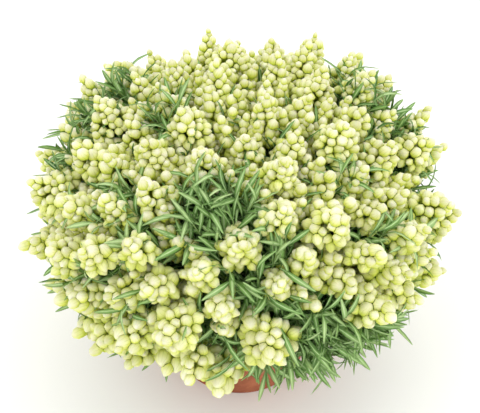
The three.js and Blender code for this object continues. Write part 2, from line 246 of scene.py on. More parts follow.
@dataclass(frozen=True)
class Dome:
    """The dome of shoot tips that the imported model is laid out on."""

    middle: float = 214 * MM
    half_width: float = 202 * MM
    half_depth: float = 190 * MM
    half_height: float = 134 * MM
    boxiness: float = 0.85
    lowest_sine: float = -0.62
    crowding: float = 1.25
    soil_level: float = 92 * MM
    sight: float = math.radians(45)
    bare_patches: tuple[Oval, ...] = (Oval(-22, -8, 40, 34), Oval(16, -60, 40, 42), Oval(85, -146, 112, 48))
    seams: tuple[Oval, ...] = (
        Oval(-104, 1, 18, 16),
        Oval(-150, -10, 24, 9),
        Oval(-98, -37, 16, 18),
        Oval(-140, -62, 30, 11),
        Oval(-98, -82, 22, 14),
        Oval(140, -30, 26, 10),
        Oval(-64, 83, 18, 13),
        Oval(-40, -106, 13, 22),
        Oval(100, 30, 14, 9),
    )
    edge_depth: float = 34 * MM
    edge_from: float = 96 * MM

    def place(self, sine: float, turn: float, share: float = 1.0) -> Vector:
        """Find a place on the dome.

        Args:
            sine: The height, from -1 at its lowest to 1 at its top.
            turn: The angle round it.
            share: The reach, where 1 is its surface.

        Returns:
            The place.
        """
        out = share * self._boxed(math.sqrt(max(0.0, 1 - sine * sine)))
        return Vector((
            self.half_width * out * self._boxed(math.cos(turn)),
            self.half_depth * out * self._boxed(math.sin(turn)),
            self.middle + self.half_height * share * self._boxed(sine),
        ))

    def _boxed(self, value: float) -> float:
        """Return a sine or cosine that is made squarer."""
        return math.copysign(abs(value) ** self.boxiness, value)

    def slot_sine(self, k: int, count: int) -> float:
        """Return the height of slot k of a spiral down the dome."""
        return 1 - ((k + 0.5) / count) ** self.crowding * (1 - self.lowest_sine)

    def slots(self, count: int, share: float = 1.0) -> list[Vector]:
        """Return the places of a spiral of slots down the dome."""
        return [self.place(self.slot_sine(k, count), k * GOLDEN_ANGLE, share) for k in range(count)]

    def layers(self, rows: tuple[tuple[int, float, float], ...]) -> list[tuple[Vector, float]]:
        """Find the slots of some layers.

        Args:
            rows: The count, the reach and the growth of the leafy places, for each layer.

        Returns:
            Each place and its growth.
        """
        return [(place, grown) for count, share, grown in rows for place in self.slots(count, share)]

    def outward(self, place: Vector) -> Vector:
        """Find the way that a shoot grows: half square to the dome, half away from the soil.

        Args:
            place: The shoot's tip.

        Returns:
            A unit vector.
        """
        normal = Vector((
            place.x / self.half_width**2,
            place.y / self.half_depth**2,
            (place.z - self.middle) / self.half_height**2,
        )).normalized()
        from_soil = (place - Vector((0, 0, self.soil_level))).normalized()
        return (normal + from_soil).normalized()

    def depth(self, place: Vector) -> float:
        """Return how far out a place is, where 1 is the dome's surface."""
        return Vector((
            place.x / self.half_width,
            place.y / self.half_depth,
            (place.z - self.middle) / self.half_height,
        )).length

    @property
    def towards(self) -> Vector:
        """The direction towards whoever looks at the patches."""
        return Vector((0, -math.cos(self.sight), math.sin(self.sight)))

    @property
    def seen_up(self) -> Vector:
        """The direction that looks upright to them."""
        return Vector((0, math.sin(self.sight), math.cos(self.sight)))

    def seen(self, place: Vector) -> Vector:
        """Return a place as it is seen: across, up and nearer, from the dome's middle."""
        arm = place - UP * self.middle
        return Vector((arm.x, arm.dot(self.seen_up), arm.dot(self.towards)))

    def is_bare(self, place: Vector, grown: float = 1.0) -> bool:
        """Tell whether a place lies in a leafy patch without heads, with the patches grown by a share."""
        return self._is_in(self.bare_patches, place, grown)

    def is_seam(self, place: Vector, grown: float) -> bool:
        """Tell whether a place lies in one of the narrow gaps between heads where leaves show."""
        return self._is_in(self.seams, place, grown)

    def is_edge(self, place: Vector) -> bool:
        """Tell whether a place lies at the left or right edge that is seen, where gaps part the heads."""
        seen = self.seen(place)
        return abs(seen.z) < self.edge_depth and abs(seen.x) > self.edge_from

    def is_leafy(self, place: Vector, grown: float) -> bool:
        """Tell whether leaves show at a place and small heads don't."""
        return self.is_edge(place) or self.is_bare(place, grown) or self.is_seam(place, grown)

    def _is_in(self, ovals: tuple[Oval, ...], place: Vector, grown: float) -> bool:
        """Tell whether a place lies in one of some ovals, on the side that is seen."""
        seen = self.seen(place)
        return seen.z > 0 and any(oval.holds(seen, grown) for oval in ovals)


@dataclass
class Tip:
    """A shoot tip, and the head that it carries where its radius isn't 0."""

    WIDEST = 0.55
    TAPER = 0.35

    place: Vector
    axis: Vector
    length: float
    turn: int
    radius: float = 0.0

    @property
    def base(self) -> Vector:
        """The place where the head's neck starts."""
        return self.place - self.axis * self.length

    @property
    def middle(self) -> Vector:
        """The middle of the head's widest part."""
        return self.place - self.axis * self.WIDEST * self.length

    def on_head(self, direction: Vector, share: float = 1.0) -> Vector:
        """Find a place in the egg that bounds the head.

        Args:
            direction: The direction from the egg's middle, with z along the head.
            share: The reach, where 1 is the egg's surface.

        Returns:
            The place.
        """
        across = sideways(self.axis, 0)
        aside = self.axis.cross(across)
        girth = 1 - self.TAPER * direction.normalized().z
        unit = direction.normalized() * share
        return (
            self.place
            + self.axis * (unit.z - 1) * self.length / 2
            + across * unit.x * girth * self.radius
            + aside * unit.y * girth * self.radius
        )


@dataclass
class Fork:
    """A fork and the heads above it."""

    heads: list[Tip]
    axis: Vector
    place: Vector
    stub: float = 8 * MM

    @property
    def foot(self) -> Vector:
        """The foot that stands on the stem."""
        return self.place - self.axis * self.stub

    @property
    def main(self) -> Tip:
        """The head whose neck runs on to the foot."""
        return self.heads[nearest_of(self.place, [tip.base for tip in self.heads])]


@dataclass
class Shoot:
    """A stem or twig of one branch."""

    branch: int
    course: Course
    start_radius: float
    end_radius: float


@dataclass
class Blade:
    """A leaf's place: its root, its way out, its upper side and its size."""

    root: Vector
    way: Vector
    lift: Vector
    length: float
    width: float
    tone: float
    bend: int = 0


class PackedBranch:
    """What the mesh of one packed branch shows: its leaves, and the points its stems run by."""

    LENGTH, WIDEST, ARCH = 44 * MM, 0.42, 3.5 * MM
    KEEL, THICKNESS = 0.25, 1.5 * MM
    WIDTH, TONE = 6 * MM, 0.6
    LONG_EDGE = 20 * MM
    MERGE = 1e-6

    def __init__(self, node: bpy.types.Object) -> None:
        """Read the mesh.

        Args:
            node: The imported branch.
        """
        mesh = bmesh.new()
        mesh.from_mesh(node.data)
        bmesh.ops.remove_doubles(mesh, verts=mesh.verts, dist=self.MERGE)
        self.tree = KDTree(len(mesh.verts))
        for vertex in mesh.verts:
            self.tree.insert(vertex.co, vertex.index)
        self.tree.balance()
        self.leaves = [self._leaf(v) for v in mesh.verts if self._is_leaf_tip(v)]
        mesh.free()

    def _is_leaf_tip(self, vertex: bmesh.types.BMVert) -> bool:
        """Tell whether a vertex is the point of a leaf: three long edges meet there."""
        edges = vertex.link_edges
        return len(edges) == 3 and all(edge.calc_length() > self.LONG_EDGE for edge in edges)

    def _leaf(self, tip: bmesh.types.BMVert) -> Blade:
        """Work a leaf's place out from its point, its two sides and its keel.

        Args:
            tip: The leaf's point.

        Returns:
            The leaf's place.
        """
        near = sorted((e.other_vert(tip).co for e in tip.link_edges), key=lambda v: (v - tip.co).length)
        left, right, keel = near
        middle = (left + right) / 2
        keel_lift = self.ARCH * self.KEEL / self.WIDEST - self.THICKNESS
        fore, rise = (1 - self.WIDEST) * self.LENGTH, self.ARCH
        back, drop = (self.WIDEST - self.KEEL) * self.LENGTH, self.ARCH - keel_lift
        to_tip, to_middle = tip.co - middle, middle - keel
        scale = fore * drop + back * rise
        way = (to_tip * drop + to_middle * rise) / scale
        lift = (to_middle * fore - to_tip * back) / scale
        root = tip.co - way * self.LENGTH
        return Blade(root, way.normalized(), lift.normalized(), self.LENGTH, self.WIDTH, self.TONE)

    def miss(self, place: Vector) -> float:
        """Return how far a place is from the branch's nearest point."""
        return self.tree.find(place)[2]


class Layout:
    """Tips, forks, stems and twigs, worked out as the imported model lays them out."""

    TIPS, FORKS, BRANCHES, TWIGS = 134, 44, 12, 318
    LONE_HEADS = (36, 57, 91)
    SKIRT, SKIRT_SINE, SKIRT_SHARE, SKIRT_FIRST = 11, -0.8, 0.92, 0.2
    SINE_JITTER, TURN_JITTER, REACH_JITTER, LEAN = 0.01, 0.1, 0.13, 0.2
    HEAD_LENGTH, HEAD_SPREAD, HEAD_RADIUS, SPACING = 44 * MM, 14 * MM, 30 * MM, 0.86
    DROP = 13 * MM
    HOLE_RING, START_RISE = 60 * MM, 5 * MM
    UPRIGHT, SPREAD, STRAIGHT = 20 * MM, 0.25, 40 * MM
    STEM_RADIUS, STEM_END = 2.4 * MM, 1.9 * MM
    TWIG_LENGTH, TWIG_RADIUS, TWIG_END = 50 * MM, 1.5 * MM, 1.0 * MM
    TWIG_FROM, TWIG_TO = 0.9, 0.5
    SWERVES, SWERVE_STEP = 3, 5 * MM
    CHECKED = (1 / 3, 2 / 3, 1)
    SEED, MULTIPLIER, INCREMENT, MODULUS = 20831, 1664525, 1013904223, 4294967296

    def __init__(self, dome: Dome) -> None:
        """Lay out the plant.

        Args:
            dome: The dome of its tips.
        """
        self.dome = dome
        nodes = [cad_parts[f"leafy_branch_{i + 1:02d}"] for i in range(self.BRANCHES)]
        self.packed = [PackedBranch(node) for node in nodes]
        self.tips = self._shoot_tips()
        self.forks = self._stem_forks()
        self.holes = [
            Vector((p.x / dome.half_width, p.y / dome.half_depth, 0)) * self.HOLE_RING
            for p in dome.slots(self.BRANCHES)
        ]
        self.stems = [self._stem_to(fork) for fork in self.forks]
        self.twigs = [twig for twig in map(self._twig_to, self._bare_tips()) if twig]

    def _draws(self) -> Callable[[], float]:
        """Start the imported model's own row of seeded draws.

        Returns:
            The function that gives the next draw, from 0 to 1.
        """
        state = self.SEED

        def draw() -> float:
            """Return the next draw."""
            nonlocal state
            state = (state * self.MULTIPLIER + self.INCREMENT) % self.MODULUS
            return state / self.MODULUS

        return draw

    def _shoot_tips(self) -> list[Tip]:
        """Lay out the tips.

        Returns:
            The tips, with a radius for each that carries a head.
        """
        draw = self._draws()
        tips = []
        for k in range(self.TIPS):
            sine = self.dome.slot_sine(k, self.TIPS) + (draw() - 0.5) * self.SINE_JITTER
            turn = k * GOLDEN_ANGLE + (draw() - 0.5) * self.TURN_JITTER
            place = self.dome.place(sine, turn, 1 + (draw() - 0.5) * self.REACH_JITTER)
            length = self.HEAD_LENGTH + draw() * self.HEAD_SPREAD
            lean = Vector((draw() - 0.5, draw() - 0.5, draw() - 0.5)) * self.LEAN
            tips.append(Tip(place, (self.dome.outward(place) + lean).normalized(), length, k))
        self._set_radii([t for t in tips if t.turn in self.LONE_HEADS or not self.dome.is_bare(t.place)])
        return tips

    def _set_radii(self, heads: list[Tip]) -> None:
        """Grow the heads until they all but touch.

        Args:
            heads: The tips that carry a head.
        """
        others = [[(o, (o.middle - h.middle).length) for o in heads if o is not h] for h in heads]
        for head, near in zip(heads, others):
            head.radius = min(gap for _, gap in near) / 2
        for head, near in zip(heads, others):
            free = min(gap - other.radius for other, gap in near)
            head.radius = min(self.HEAD_RADIUS, free) * self.SPACING

    def _stem_forks(self) -> list[Fork]:
        """Gather the tips into forks.

        Returns:
            The forks.
        """
        anchors = self.dome.slots(self.FORKS)
        members: list[list[Tip]] = [[] for _ in anchors]
        for tip in self.tips:
            members[nearest_of(tip.place, anchors)].append(tip)
        forks = []
        for own in filter(None, members):
            axis = mean_of(tip.axis for tip in own).normalized()
            place = mean_of(tip.base for tip in own) - axis * self.DROP
            forks.append(Fork([tip for tip in own if tip.radius], axis, place))
        return forks

    def _stem_to(self, fork: Fork) -> Shoot:
        """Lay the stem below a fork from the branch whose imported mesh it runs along.

        Args:
            fork: The fork that the stem carries.

        Returns:
            The stem.
        """
        ways = []
        for branch, hole in enumerate(self.holes):
            for i in range(self.SWERVES):
                start = hole + UP * (self.dome.soil_level + self.START_RISE)
                end = fork.foot
                rise = start.lerp(end, self.SPREAD) + UP * self.UPRIGHT
                swerve = sideways(UP, i * GOLDEN_ANGLE) * i * self.SWERVE_STEP
                bend = end - fork.axis * self.STRAIGHT + swerve
                course = Course(start, rise, bend, end)
                miss = sum(self.packed[branch].miss(course.at(share)) for share in self.CHECKED)
                ways.append((miss, branch, course))
        _, branch, course = min(ways, key=lambda way: way[0])
        return Shoot(branch, course, self.STEM_RADIUS, self.STEM_END)

    def _bare_tips(self) -> list[Tip]:
        """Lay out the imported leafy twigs, in the patches and round the lower edge.

        Returns:
            Their tips.
        """
        bare = [place for place in self.dome.slots(self.TWIGS) if self.dome.is_bare(place)]
        turns = [2 * math.pi * (i + self.SKIRT_FIRST) / self.SKIRT for i in range(self.SKIRT)]
        skirt = [self.dome.place(self.SKIRT_SINE, turn, self.SKIRT_SHARE) for turn in turns]
        return [Tip(p, self.dome.outward(p), self.TWIG_LENGTH, k) for k, p in enumerate(bare + skirt)]

    def _twig_to(self, tip: Tip) -> Shoot | None:
        """Lay the twig to a tip.

        Args:
            tip: The tip.

        Returns:
            The twig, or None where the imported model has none.
        """
        end = tip.base.lerp(tip.place, self.TWIG_TO)
        stem = self.stem_near(tip.base)
        if self.packed[stem.branch].miss(end) > 2 * self.TWIG_END:
            return None
        course = Course(stem.course.at(self.TWIG_FROM), tip.base, end)
        return Shoot(stem.branch, course, self.TWIG_RADIUS, self.TWIG_END)

    def stem_near(self, place: Vector) -> Shoot:
        """Return the stem whose upper part is nearest to a place."""
        return self.stems[nearest_of(place, [stem.course.at(self.TWIG_FROM) for stem in self.stems])]


# Modelled shapes and the pieces that their copies are gathered into


class Workshop:
    """Short calls for Blender's modelling operators."""

    @staticmethod
    def start() -> None:
        """Deselect everything, in object mode."""
        if bpy.context.object and bpy.context.object.mode != "OBJECT":
            bpy.ops.object.mode_set(mode="OBJECT")
        bpy.ops.object.select_all(action="DESELECT")

    @staticmethod
    def only(piece: bpy.types.Object) -> None:
        """Select one object alone, and make it the active one.

        Args:
            piece: The object.
        """
        Workshop.start()
        piece.select_set(True)
        bpy.context.view_layer.objects.active = piece

    @staticmethod
    def edit() -> bpy.types.Object:
        """Open a new primitive in edit mode, selected all over.

        Returns:
            The object.
        """
        bpy.ops.object.mode_set(mode="EDIT")
        bpy.context.tool_settings.mesh_select_mode = (True, False, False)
        bpy.ops.mesh.select_all(action="SELECT")
        return bpy.context.object

    @staticmethod
    def pick(piece: bpy.types.Object, test: Callable[[Vector], bool]) -> None:
        """Select the vertices of the edited mesh that pass a test of their place.

        Args:
            piece: The object in edit mode.
            test: The test of a vertex's place.
        """
        mesh = bmesh.from_edit_mesh(piece.data)
        for vertex in mesh.verts:
            vertex.select = test(vertex.co)
        mesh.select_flush_mode()
        bmesh.update_edit_mesh(piece.data)

    @staticmethod
    def move(x: float = 0, y: float = 0, z: float = 0) -> None:
        """Move what is selected."""
        bpy.ops.transform.translate(value=(x, y, z))

    @staticmethod
    def scale(x: float, y: float, z: float, centre: tuple[float, float, float]) -> None:
        """Scale what is selected about a centre."""
        bpy.ops.transform.resize(value=(x, y, z), center_override=centre)

    @staticmethod
    def finish(piece: bpy.types.Object, name: str) -> bpy.types.Object:
        """Name a piece and put its place into its mesh.

        Args:
            piece: The modelled object.
            name: Its name.

        Returns:
            The object.
        """
        Workshop.only(piece)
        bpy.ops.object.transform_apply(location=True, rotation=True, scale=True)
        piece.name = piece.data.name = name
        return piece

    @staticmethod
    def turned(sides: int, profile: list[tuple[float, float]], name: str) -> bpy.types.Object:
        """Model a turned form: a disc that is drawn up ring by ring.

        Args:
            sides: How many sides it has.
            profile: The radius and height of each ring.
            name: Its name.

        Returns:
            The object.
        """
        Workshop.start()
        radius, level = profile[0]
        bpy.ops.mesh.primitive_circle_add(
            vertices=sides, radius=radius, fill_type="NGON", location=(0, 0, level)
        )
        piece = Workshop.edit()
        for new_radius, new_level in profile[1:]:
            bpy.ops.mesh.extrude_region_move(TRANSFORM_OT_translate={"value": (0, 0, new_level - level)})
            Workshop.scale(new_radius / radius, new_radius / radius, 1, (0, 0, new_level))
            radius, level = new_radius, new_level
        bpy.ops.mesh.select_all(action="SELECT")
        bpy.ops.mesh.normals_make_consistent(inside=False)
        return Workshop.finish(piece, name)

    @staticmethod
    def smooth(piece: bpy.types.Object, angle: float) -> None:
        """Shade a piece smooth, with sharp edges past an angle."""
        Workshop.only(piece)
        bpy.ops.object.shade_smooth_by_angle(angle=angle)


@dataclass
class Shape:
    """A modelled shape as rows of numbers, ready to be copied many times."""

    points: np.ndarray
    corners: np.ndarray
    sides: np.ndarray
    uvs: np.ndarray

    @classmethod
    def taken(cls, piece: bpy.types.Object, uv_of: Callable[[Vector], tuple[float, float]] | None) -> "Shape":
        """Take a shape from an object, which is then removed.

        Args:
            piece: The object.
            uv_of: The UV of a point, or None to keep the object's own UV map.

        Returns:
            The shape.
        """
        mesh = piece.data
        points = np.empty(len(mesh.vertices) * 3)
        mesh.vertices.foreach_get("co", points)
        corners = np.empty(len(mesh.loops), dtype=np.int64)
        mesh.loops.foreach_get("vertex_index", corners)
        sides = np.array([polygon.loop_total for polygon in mesh.polygons])
        uvs = np.zeros(len(mesh.loops) * 2)
        if uv_of:
            uvs = np.array([uv_of(mesh.vertices[i].co) for i in corners]).ravel()
        elif mesh.uv_layers:
            mesh.uv_layers.active.uv.foreach_get("vector", uvs)
        bpy.data.objects.remove(piece)
        bpy.data.meshes.remove(mesh)
        return cls(points.reshape(-1, 3), corners, sides, uvs.reshape(-1, 2))


class Gathered:
    """One mesh that the copies of modelled shapes are gathered into."""

    TINT = "tint"
    PLAIN, STEM = (0.5, 0.5, 0.5), (0.5, 0.5, 1.0)

    def __init__(self) -> None:
        """Start with nothing."""
        self.points: list[np.ndarray] = []
        self.corners: list[np.ndarray] = []
        self.sides: list[np.ndarray] = []
        self.uvs: list[np.ndarray] = []
        self.tints: list[np.ndarray] = []
        self.count = 0

    def add(self, shape: Shape, places: list[Matrix], tints: list[tuple[float, float, float]]) -> None:
        """Add a copy of a shape at each place.

        Args:
            shape: The modelled shape.
            places: The places, as matrices.
            tints: The tint of each copy, as three numbers from 0 to 1.
        """
        if not places:
            return
        frames = np.array([list(map(list, place)) for place in places])
        copies = np.einsum("nij,vj->nvi", frames[:, :3, :3], shape.points) + frames[:, None, :3, 3]
        each = len(shape.points)
        firsts = self.count + each * np.arange(len(places))
        self.points.append(copies.reshape(-1, 3))
        self.corners.append((shape.corners[None, :] + firsts[:, None]).ravel())
        self.sides.append(np.tile(shape.sides, len(places)))
        self.uvs.append(np.tile(shape.uvs, (len(places), 1)))
        self.tints.append(np.repeat(np.array(tints), each, axis=0))
        self.count += each * len(places)

    def add_stems(self, stems: "StemShapes") -> None:
        """Add stems, in their own place and tinted as stems."""
        self.add(stems.shape(), [Matrix.Identity(4)], [self.STEM])

    def piece(self, name: str, material: bpy.types.Material, slot: Slot, *nodes: str) -> bpy.types.Object:
        """Make the piece.

        Args:
            name: Its name.
            material: Its finish.
            slot: The record's slot that the finish belongs to.
            nodes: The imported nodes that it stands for.

        Returns:
            The piece.
        """
        corners, sides = np.concatenate(self.corners), np.concatenate(self.sides)
        mesh = bpy.data.meshes.new(name)
        mesh.vertices.add(self.count)
        mesh.vertices.foreach_set("co", np.concatenate(self.points).ravel())
        mesh.loops.add(len(corners))
        mesh.loops.foreach_set("vertex_index", corners)
        mesh.polygons.add(len(sides))
        mesh.polygons.foreach_set("loop_start", np.concatenate([[0], np.cumsum(sides)[:-1]]))
        mesh.polygons.foreach_set("use_smooth", np.ones(len(sides), dtype=bool))
        mesh.uv_layers.new(name="UVMap").uv.foreach_set("vector", np.concatenate(self.uvs).ravel())
        tints = np.concatenate(self.tints)
        colours = np.concatenate([tints, np.ones((len(tints), 1))], axis=1)
        mesh.attributes.new(self.TINT, "FLOAT_COLOR", "POINT").data.foreach_set("color", colours.ravel())
        mesh.update(calc_edges=True)
        mesh.validate()
        mesh.materials.append(material)
        made = bpy.data.objects.new(name, mesh)
        bpy.context.scene.collection.objects.link(made)
        return settled(made, slot, *nodes)


def settled(piece: bpy.types.Object, slot: Slot, *nodes: str) -> bpy.types.Object:
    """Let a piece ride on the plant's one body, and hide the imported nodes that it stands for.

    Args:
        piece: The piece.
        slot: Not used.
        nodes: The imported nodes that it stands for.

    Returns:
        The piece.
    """
    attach(piece, "root")
    if nodes:
        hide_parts(*nodes)
    log.info("%s: %d faces", piece.name, len(piece.data.polygons))
    return piece


@dataclass(frozen=True)
class Ring:
    """One ring of a spindle: its height, its two half widths and its shift in y."""

    z: float
    half_x: float
    half_y: float
    shift: float = 0.0


@dataclass(frozen=True)
class Spindle:
    """A closed form of rings between two points, drawn out of a sphere."""

    RADIUS: ClassVar[float] = 0.5
    AWAY: ClassVar[float] = 2.0

    sides: int
    rings: tuple[Ring, ...]
    end_shift: float = 0.0

    def model(self) -> bpy.types.Object:
        """Model the spindle, from 0 to 1 in height.

        What is done moves away at once, so that the next pick finds only what isn't.

        Returns:
            The object, in edit mode.
        """
        Workshop.start()
        bands = len(self.rings) + 1
        bpy.ops.mesh.primitive_uv_sphere_add(
            segments=self.sides, ring_count=bands, radius=self.RADIUS, calc_uvs=True, location=(0, 0, 0)
        )
        piece = Workshop.edit()
        reach = self.RADIUS**2 / bands**2
        for i, ring in enumerate(self.rings, 1):
            z = -self.RADIUS * math.cos(math.pi * i / bands)
            own = self.RADIUS * math.sqrt(1 - (z / self.RADIUS) ** 2)
            Workshop.pick(piece, lambda co: abs(co.z - z) < reach)
            Workshop.scale(ring.half_x / own, ring.half_y / own, 1, (0, 0, z))
            Workshop.move(0, ring.shift, ring.z - z + self.AWAY)
        Workshop.pick(piece, lambda co: co.z < reach - self.RADIUS)
        Workshop.move(0, 0, self.RADIUS + self.AWAY)
        Workshop.pick(piece, lambda co: abs(co.z - self.RADIUS) < reach)
        Workshop.move(0, self.end_shift, self.RADIUS + self.AWAY)
        bpy.ops.mesh.select_all(action="SELECT")
        Workshop.move(0, 0, -self.AWAY)
        return piece


@dataclass(frozen=True)
class CalyxShape:
    """An inflated calyx, one long, with lengthwise ribs and a pinched mouth."""

    LONGER: ClassVar[tuple[Ring, ...]] = (
        Ring(0.10, 0.22, 0.22),
        Ring(0.36, 0.40, 0.40),
        Ring(0.68, 0.35, 0.35),
        Ring(0.93, 0.12, 0.12),
    )
    PLAINER: ClassVar[tuple[Ring, ...]] = (
        Ring(0.13, 0.27, 0.27),
        Ring(0.46, 0.44, 0.44),
        Ring(0.84, 0.29, 0.29),
    )

    sides: int = 8
    rings: tuple[Ring, ...] = (
        Ring(0.09, 0.23, 0.23),
        Ring(0.36, 0.43, 0.43),
        Ring(0.70, 0.39, 0.39),
        Ring(0.94, 0.17, 0.17),
    )
    rib: float = 0.92
    ribbed_from: float = 0.1

    def model(self) -> Shape:
        """Model the calyx, and press it in between its ribs.

        Returns:
            The shape.
        """
        piece = Spindle(self.sides, self.rings).model()
        step = 4 * math.pi / self.sides

        def is_furrow(co: Vector) -> bool:
            """Tell whether a point lies between two ribs."""
            turn = math.atan2(co.y, co.x) % step
            return co.xy.length > self.ribbed_from and min(turn, step - turn) > step / 4

        Workshop.pick(piece, is_furrow)
        Workshop.scale(self.rib, self.rib, 1, (0, 0, 0.5))
        return Shape.taken(Workshop.finish(piece, "calyx"), None)


@dataclass(frozen=True)
class LeafShape:
    """A narrow pointed leaf, one long and one wide, grooved along its midrib."""

    BENDS: ClassVar[tuple[tuple[float, float], ...]] = (
        (0.08, 0.05), (0.13, 0.28), (0.07, -0.12), (0.15, 0.46),
    )
    FEWER: ClassVar[tuple[tuple[float, float], ...]] = ((0.12, 0.25), (0.42, 0.48), (0.8, 0.34))
    ON_MIDRIB: ClassVar[float] = 1e-4
    UV_WIDENING: ClassVar[float] = 4.0

    arch: float
    hang: float
    groove: float = 0.028
    grooved: tuple[float, float] = (0.1, 0.9)
    thickness: float = 0.014
    widths: tuple[tuple[float, float], ...] = (
        (0.05, 0.13), (0.2, 0.31), (0.42, 0.48), (0.64, 0.48), (0.84, 0.32), (0.95, 0.15),
    )

    def _height(self, z: float) -> float:
        """Return how far the blade stands above the line of its root at a share of its length."""
        return self.arch * math.sin(math.pi * z) - self.hang * z * z

    def _uv(self, co: Vector) -> tuple[float, float]:
        """Return a point's distance from the midrib and its share of the length."""
        return min(1.0, abs(co.x) * self.UV_WIDENING), co.z

    def model(self) -> Shape:
        """Model the leaf, and press in its midrib.

        Returns:
            The shape.
        """
        rings = tuple(Ring(z, half, self.thickness / 2, self._height(z)) for z, half in self.widths)
        piece = Spindle(4, rings, self._height(1.0)).model()
        low, high = self.grooved
        Workshop.pick(piece, lambda co: abs(co.x) < self.ON_MIDRIB and low < co.z < high)
        Workshop.move(0, -self.groove, 0)
        return Shape.taken(Workshop.finish(piece, "leaf"), self._uv)


class StemShapes:
    """Round stems, made as bevelled curves and turned into one shape."""

    SIDES_LEVEL = 1

    def __init__(self) -> None:
        """Start with no stem."""
        self.curve = bpy.data.curves.new("stems", "CURVE")
        self.curve.dimensions = "3D"
        self.curve.bevel_depth = 1.0
        self.curve.bevel_resolution = self.SIDES_LEVEL
        self.curve.use_fill_caps = True

    def add(self, points: list[Vector], start_radius: float, end_radius: float) -> None:
        """Add a stem.

        Args:
            points: The points that it runs through.
            start_radius: Its radius at the first.
            end_radius: Its radius at the last.
        """
        spline = self.curve.splines.new("POLY")
        spline.points.add(len(points) - 1)
        for i, point in enumerate(points):
            spline.points[i].co = (*point, 1)
            spline.points[i].radius = start_radius + (end_radius - start_radius) * i / (len(points) - 1)

    def shape(self) -> Shape:
        """Turn the curves into a shape.

        Returns:
            The shape.
        """
        piece = bpy.data.objects.new("stems", self.curve)
        bpy.context.scene.collection.objects.link(piece)
        Workshop.only(piece)
        bpy.ops.object.convert(target="MESH")
        return Shape.taken(bpy.context.object, lambda co: PLAIN_UV)


# Finishes


class Graph:
    """Short calls for the nodes of one tree."""

    def __init__(self, tree: bpy.types.NodeTree) -> None:
        """Take the tree and empty it."""
        self.tree = tree
        tree.nodes.clear()

    def set(self, socket: Socket, value: object) -> None:
        """Link a socket to another, or give it a value.

        Args:
            socket: The socket.
            value: The other socket, or the value.
        """
        if isinstance(value, Socket):
            self.tree.links.new(value, socket)
        else:
            socket.default_value = value

    def node(self, kind: str, inputs: dict | None = None, **settings: object) -> bpy.types.Node:
        """Add a node.

        Args:
            kind: Its type.
            inputs: Its inputs by name or number, as sockets or values.
            settings: Its own settings.

        Returns:
            The node.
        """
        made = self.tree.nodes.new(kind)
        for name, value in settings.items():
            setattr(made, name, value)
        for name, value in (inputs or {}).items():
            self.set(made.inputs[name], value)
        return made

    def math(self, operation: str, a: object, b: object = 0.0) -> Socket:
        """Return the result of a sum, product or the like."""
        return self.node("ShaderNodeMath", {0: a, 1: b}, operation=operation).outputs[0]

    def plus(self, a: object, b: object) -> Socket:
        """Return a sum."""
        return self.math("ADD", a, b)

    def times(self, a: object, b: object) -> Socket:
        """Return a product."""
        return self.math("MULTIPLY", a, b)

    def parts(self, vector: Socket) -> list[Socket]:
        """Return the three parts of a vector."""
        return self.node("ShaderNodeSeparateXYZ", {0: vector}).outputs[:3]

    def noise(self, vector: Socket, scale: object, detail: float) -> Socket:
        """Return the height of a noise."""
        inputs = {"Vector": vector, "Scale": scale, "Detail": detail}
        return self.node("ShaderNodeTexNoise", inputs).outputs[0]

    def mix(self, share: object, a: object, b: object, blend: str = "MIX") -> Socket:
        """Return a mix of two colours."""
        settings = {"data_type": "RGBA", "blend_type": blend, "clamp_factor": True}
        return self.node("ShaderNodeMix", {0: share, 6: a, 7: b}, **settings).outputs[2]

    def span(
        self, value: object, low: float, high: float, to_low: float = 0, to_high: float = 1
    ) -> Socket:
        """Return a value mapped from one span to another, smoothly at both ends."""
        inputs = {0: value, 1: low, 2: high, 3: to_low, 4: to_high}
        return self.node("ShaderNodeMapRange", inputs, interpolation_type="SMOOTHSTEP").outputs[0]

    def ramp(self, value: object, stops: tuple[tuple[float, Hue], ...]) -> Socket:
        """Find the colour of a ramp at a value.

        Args:
            value: The value.
            stops: The ramp's places and colours.

        Returns:
            The colour.
        """
        made = self.node("ShaderNodeValToRGB", {0: value})
        elements = made.color_ramp.elements
        while len(elements) < len(stops):
            elements.new(0.5)
        for element, (place, hue) in zip(elements, stops):
            element.position = place
            element.color = hue.linear
        return made.outputs[0]


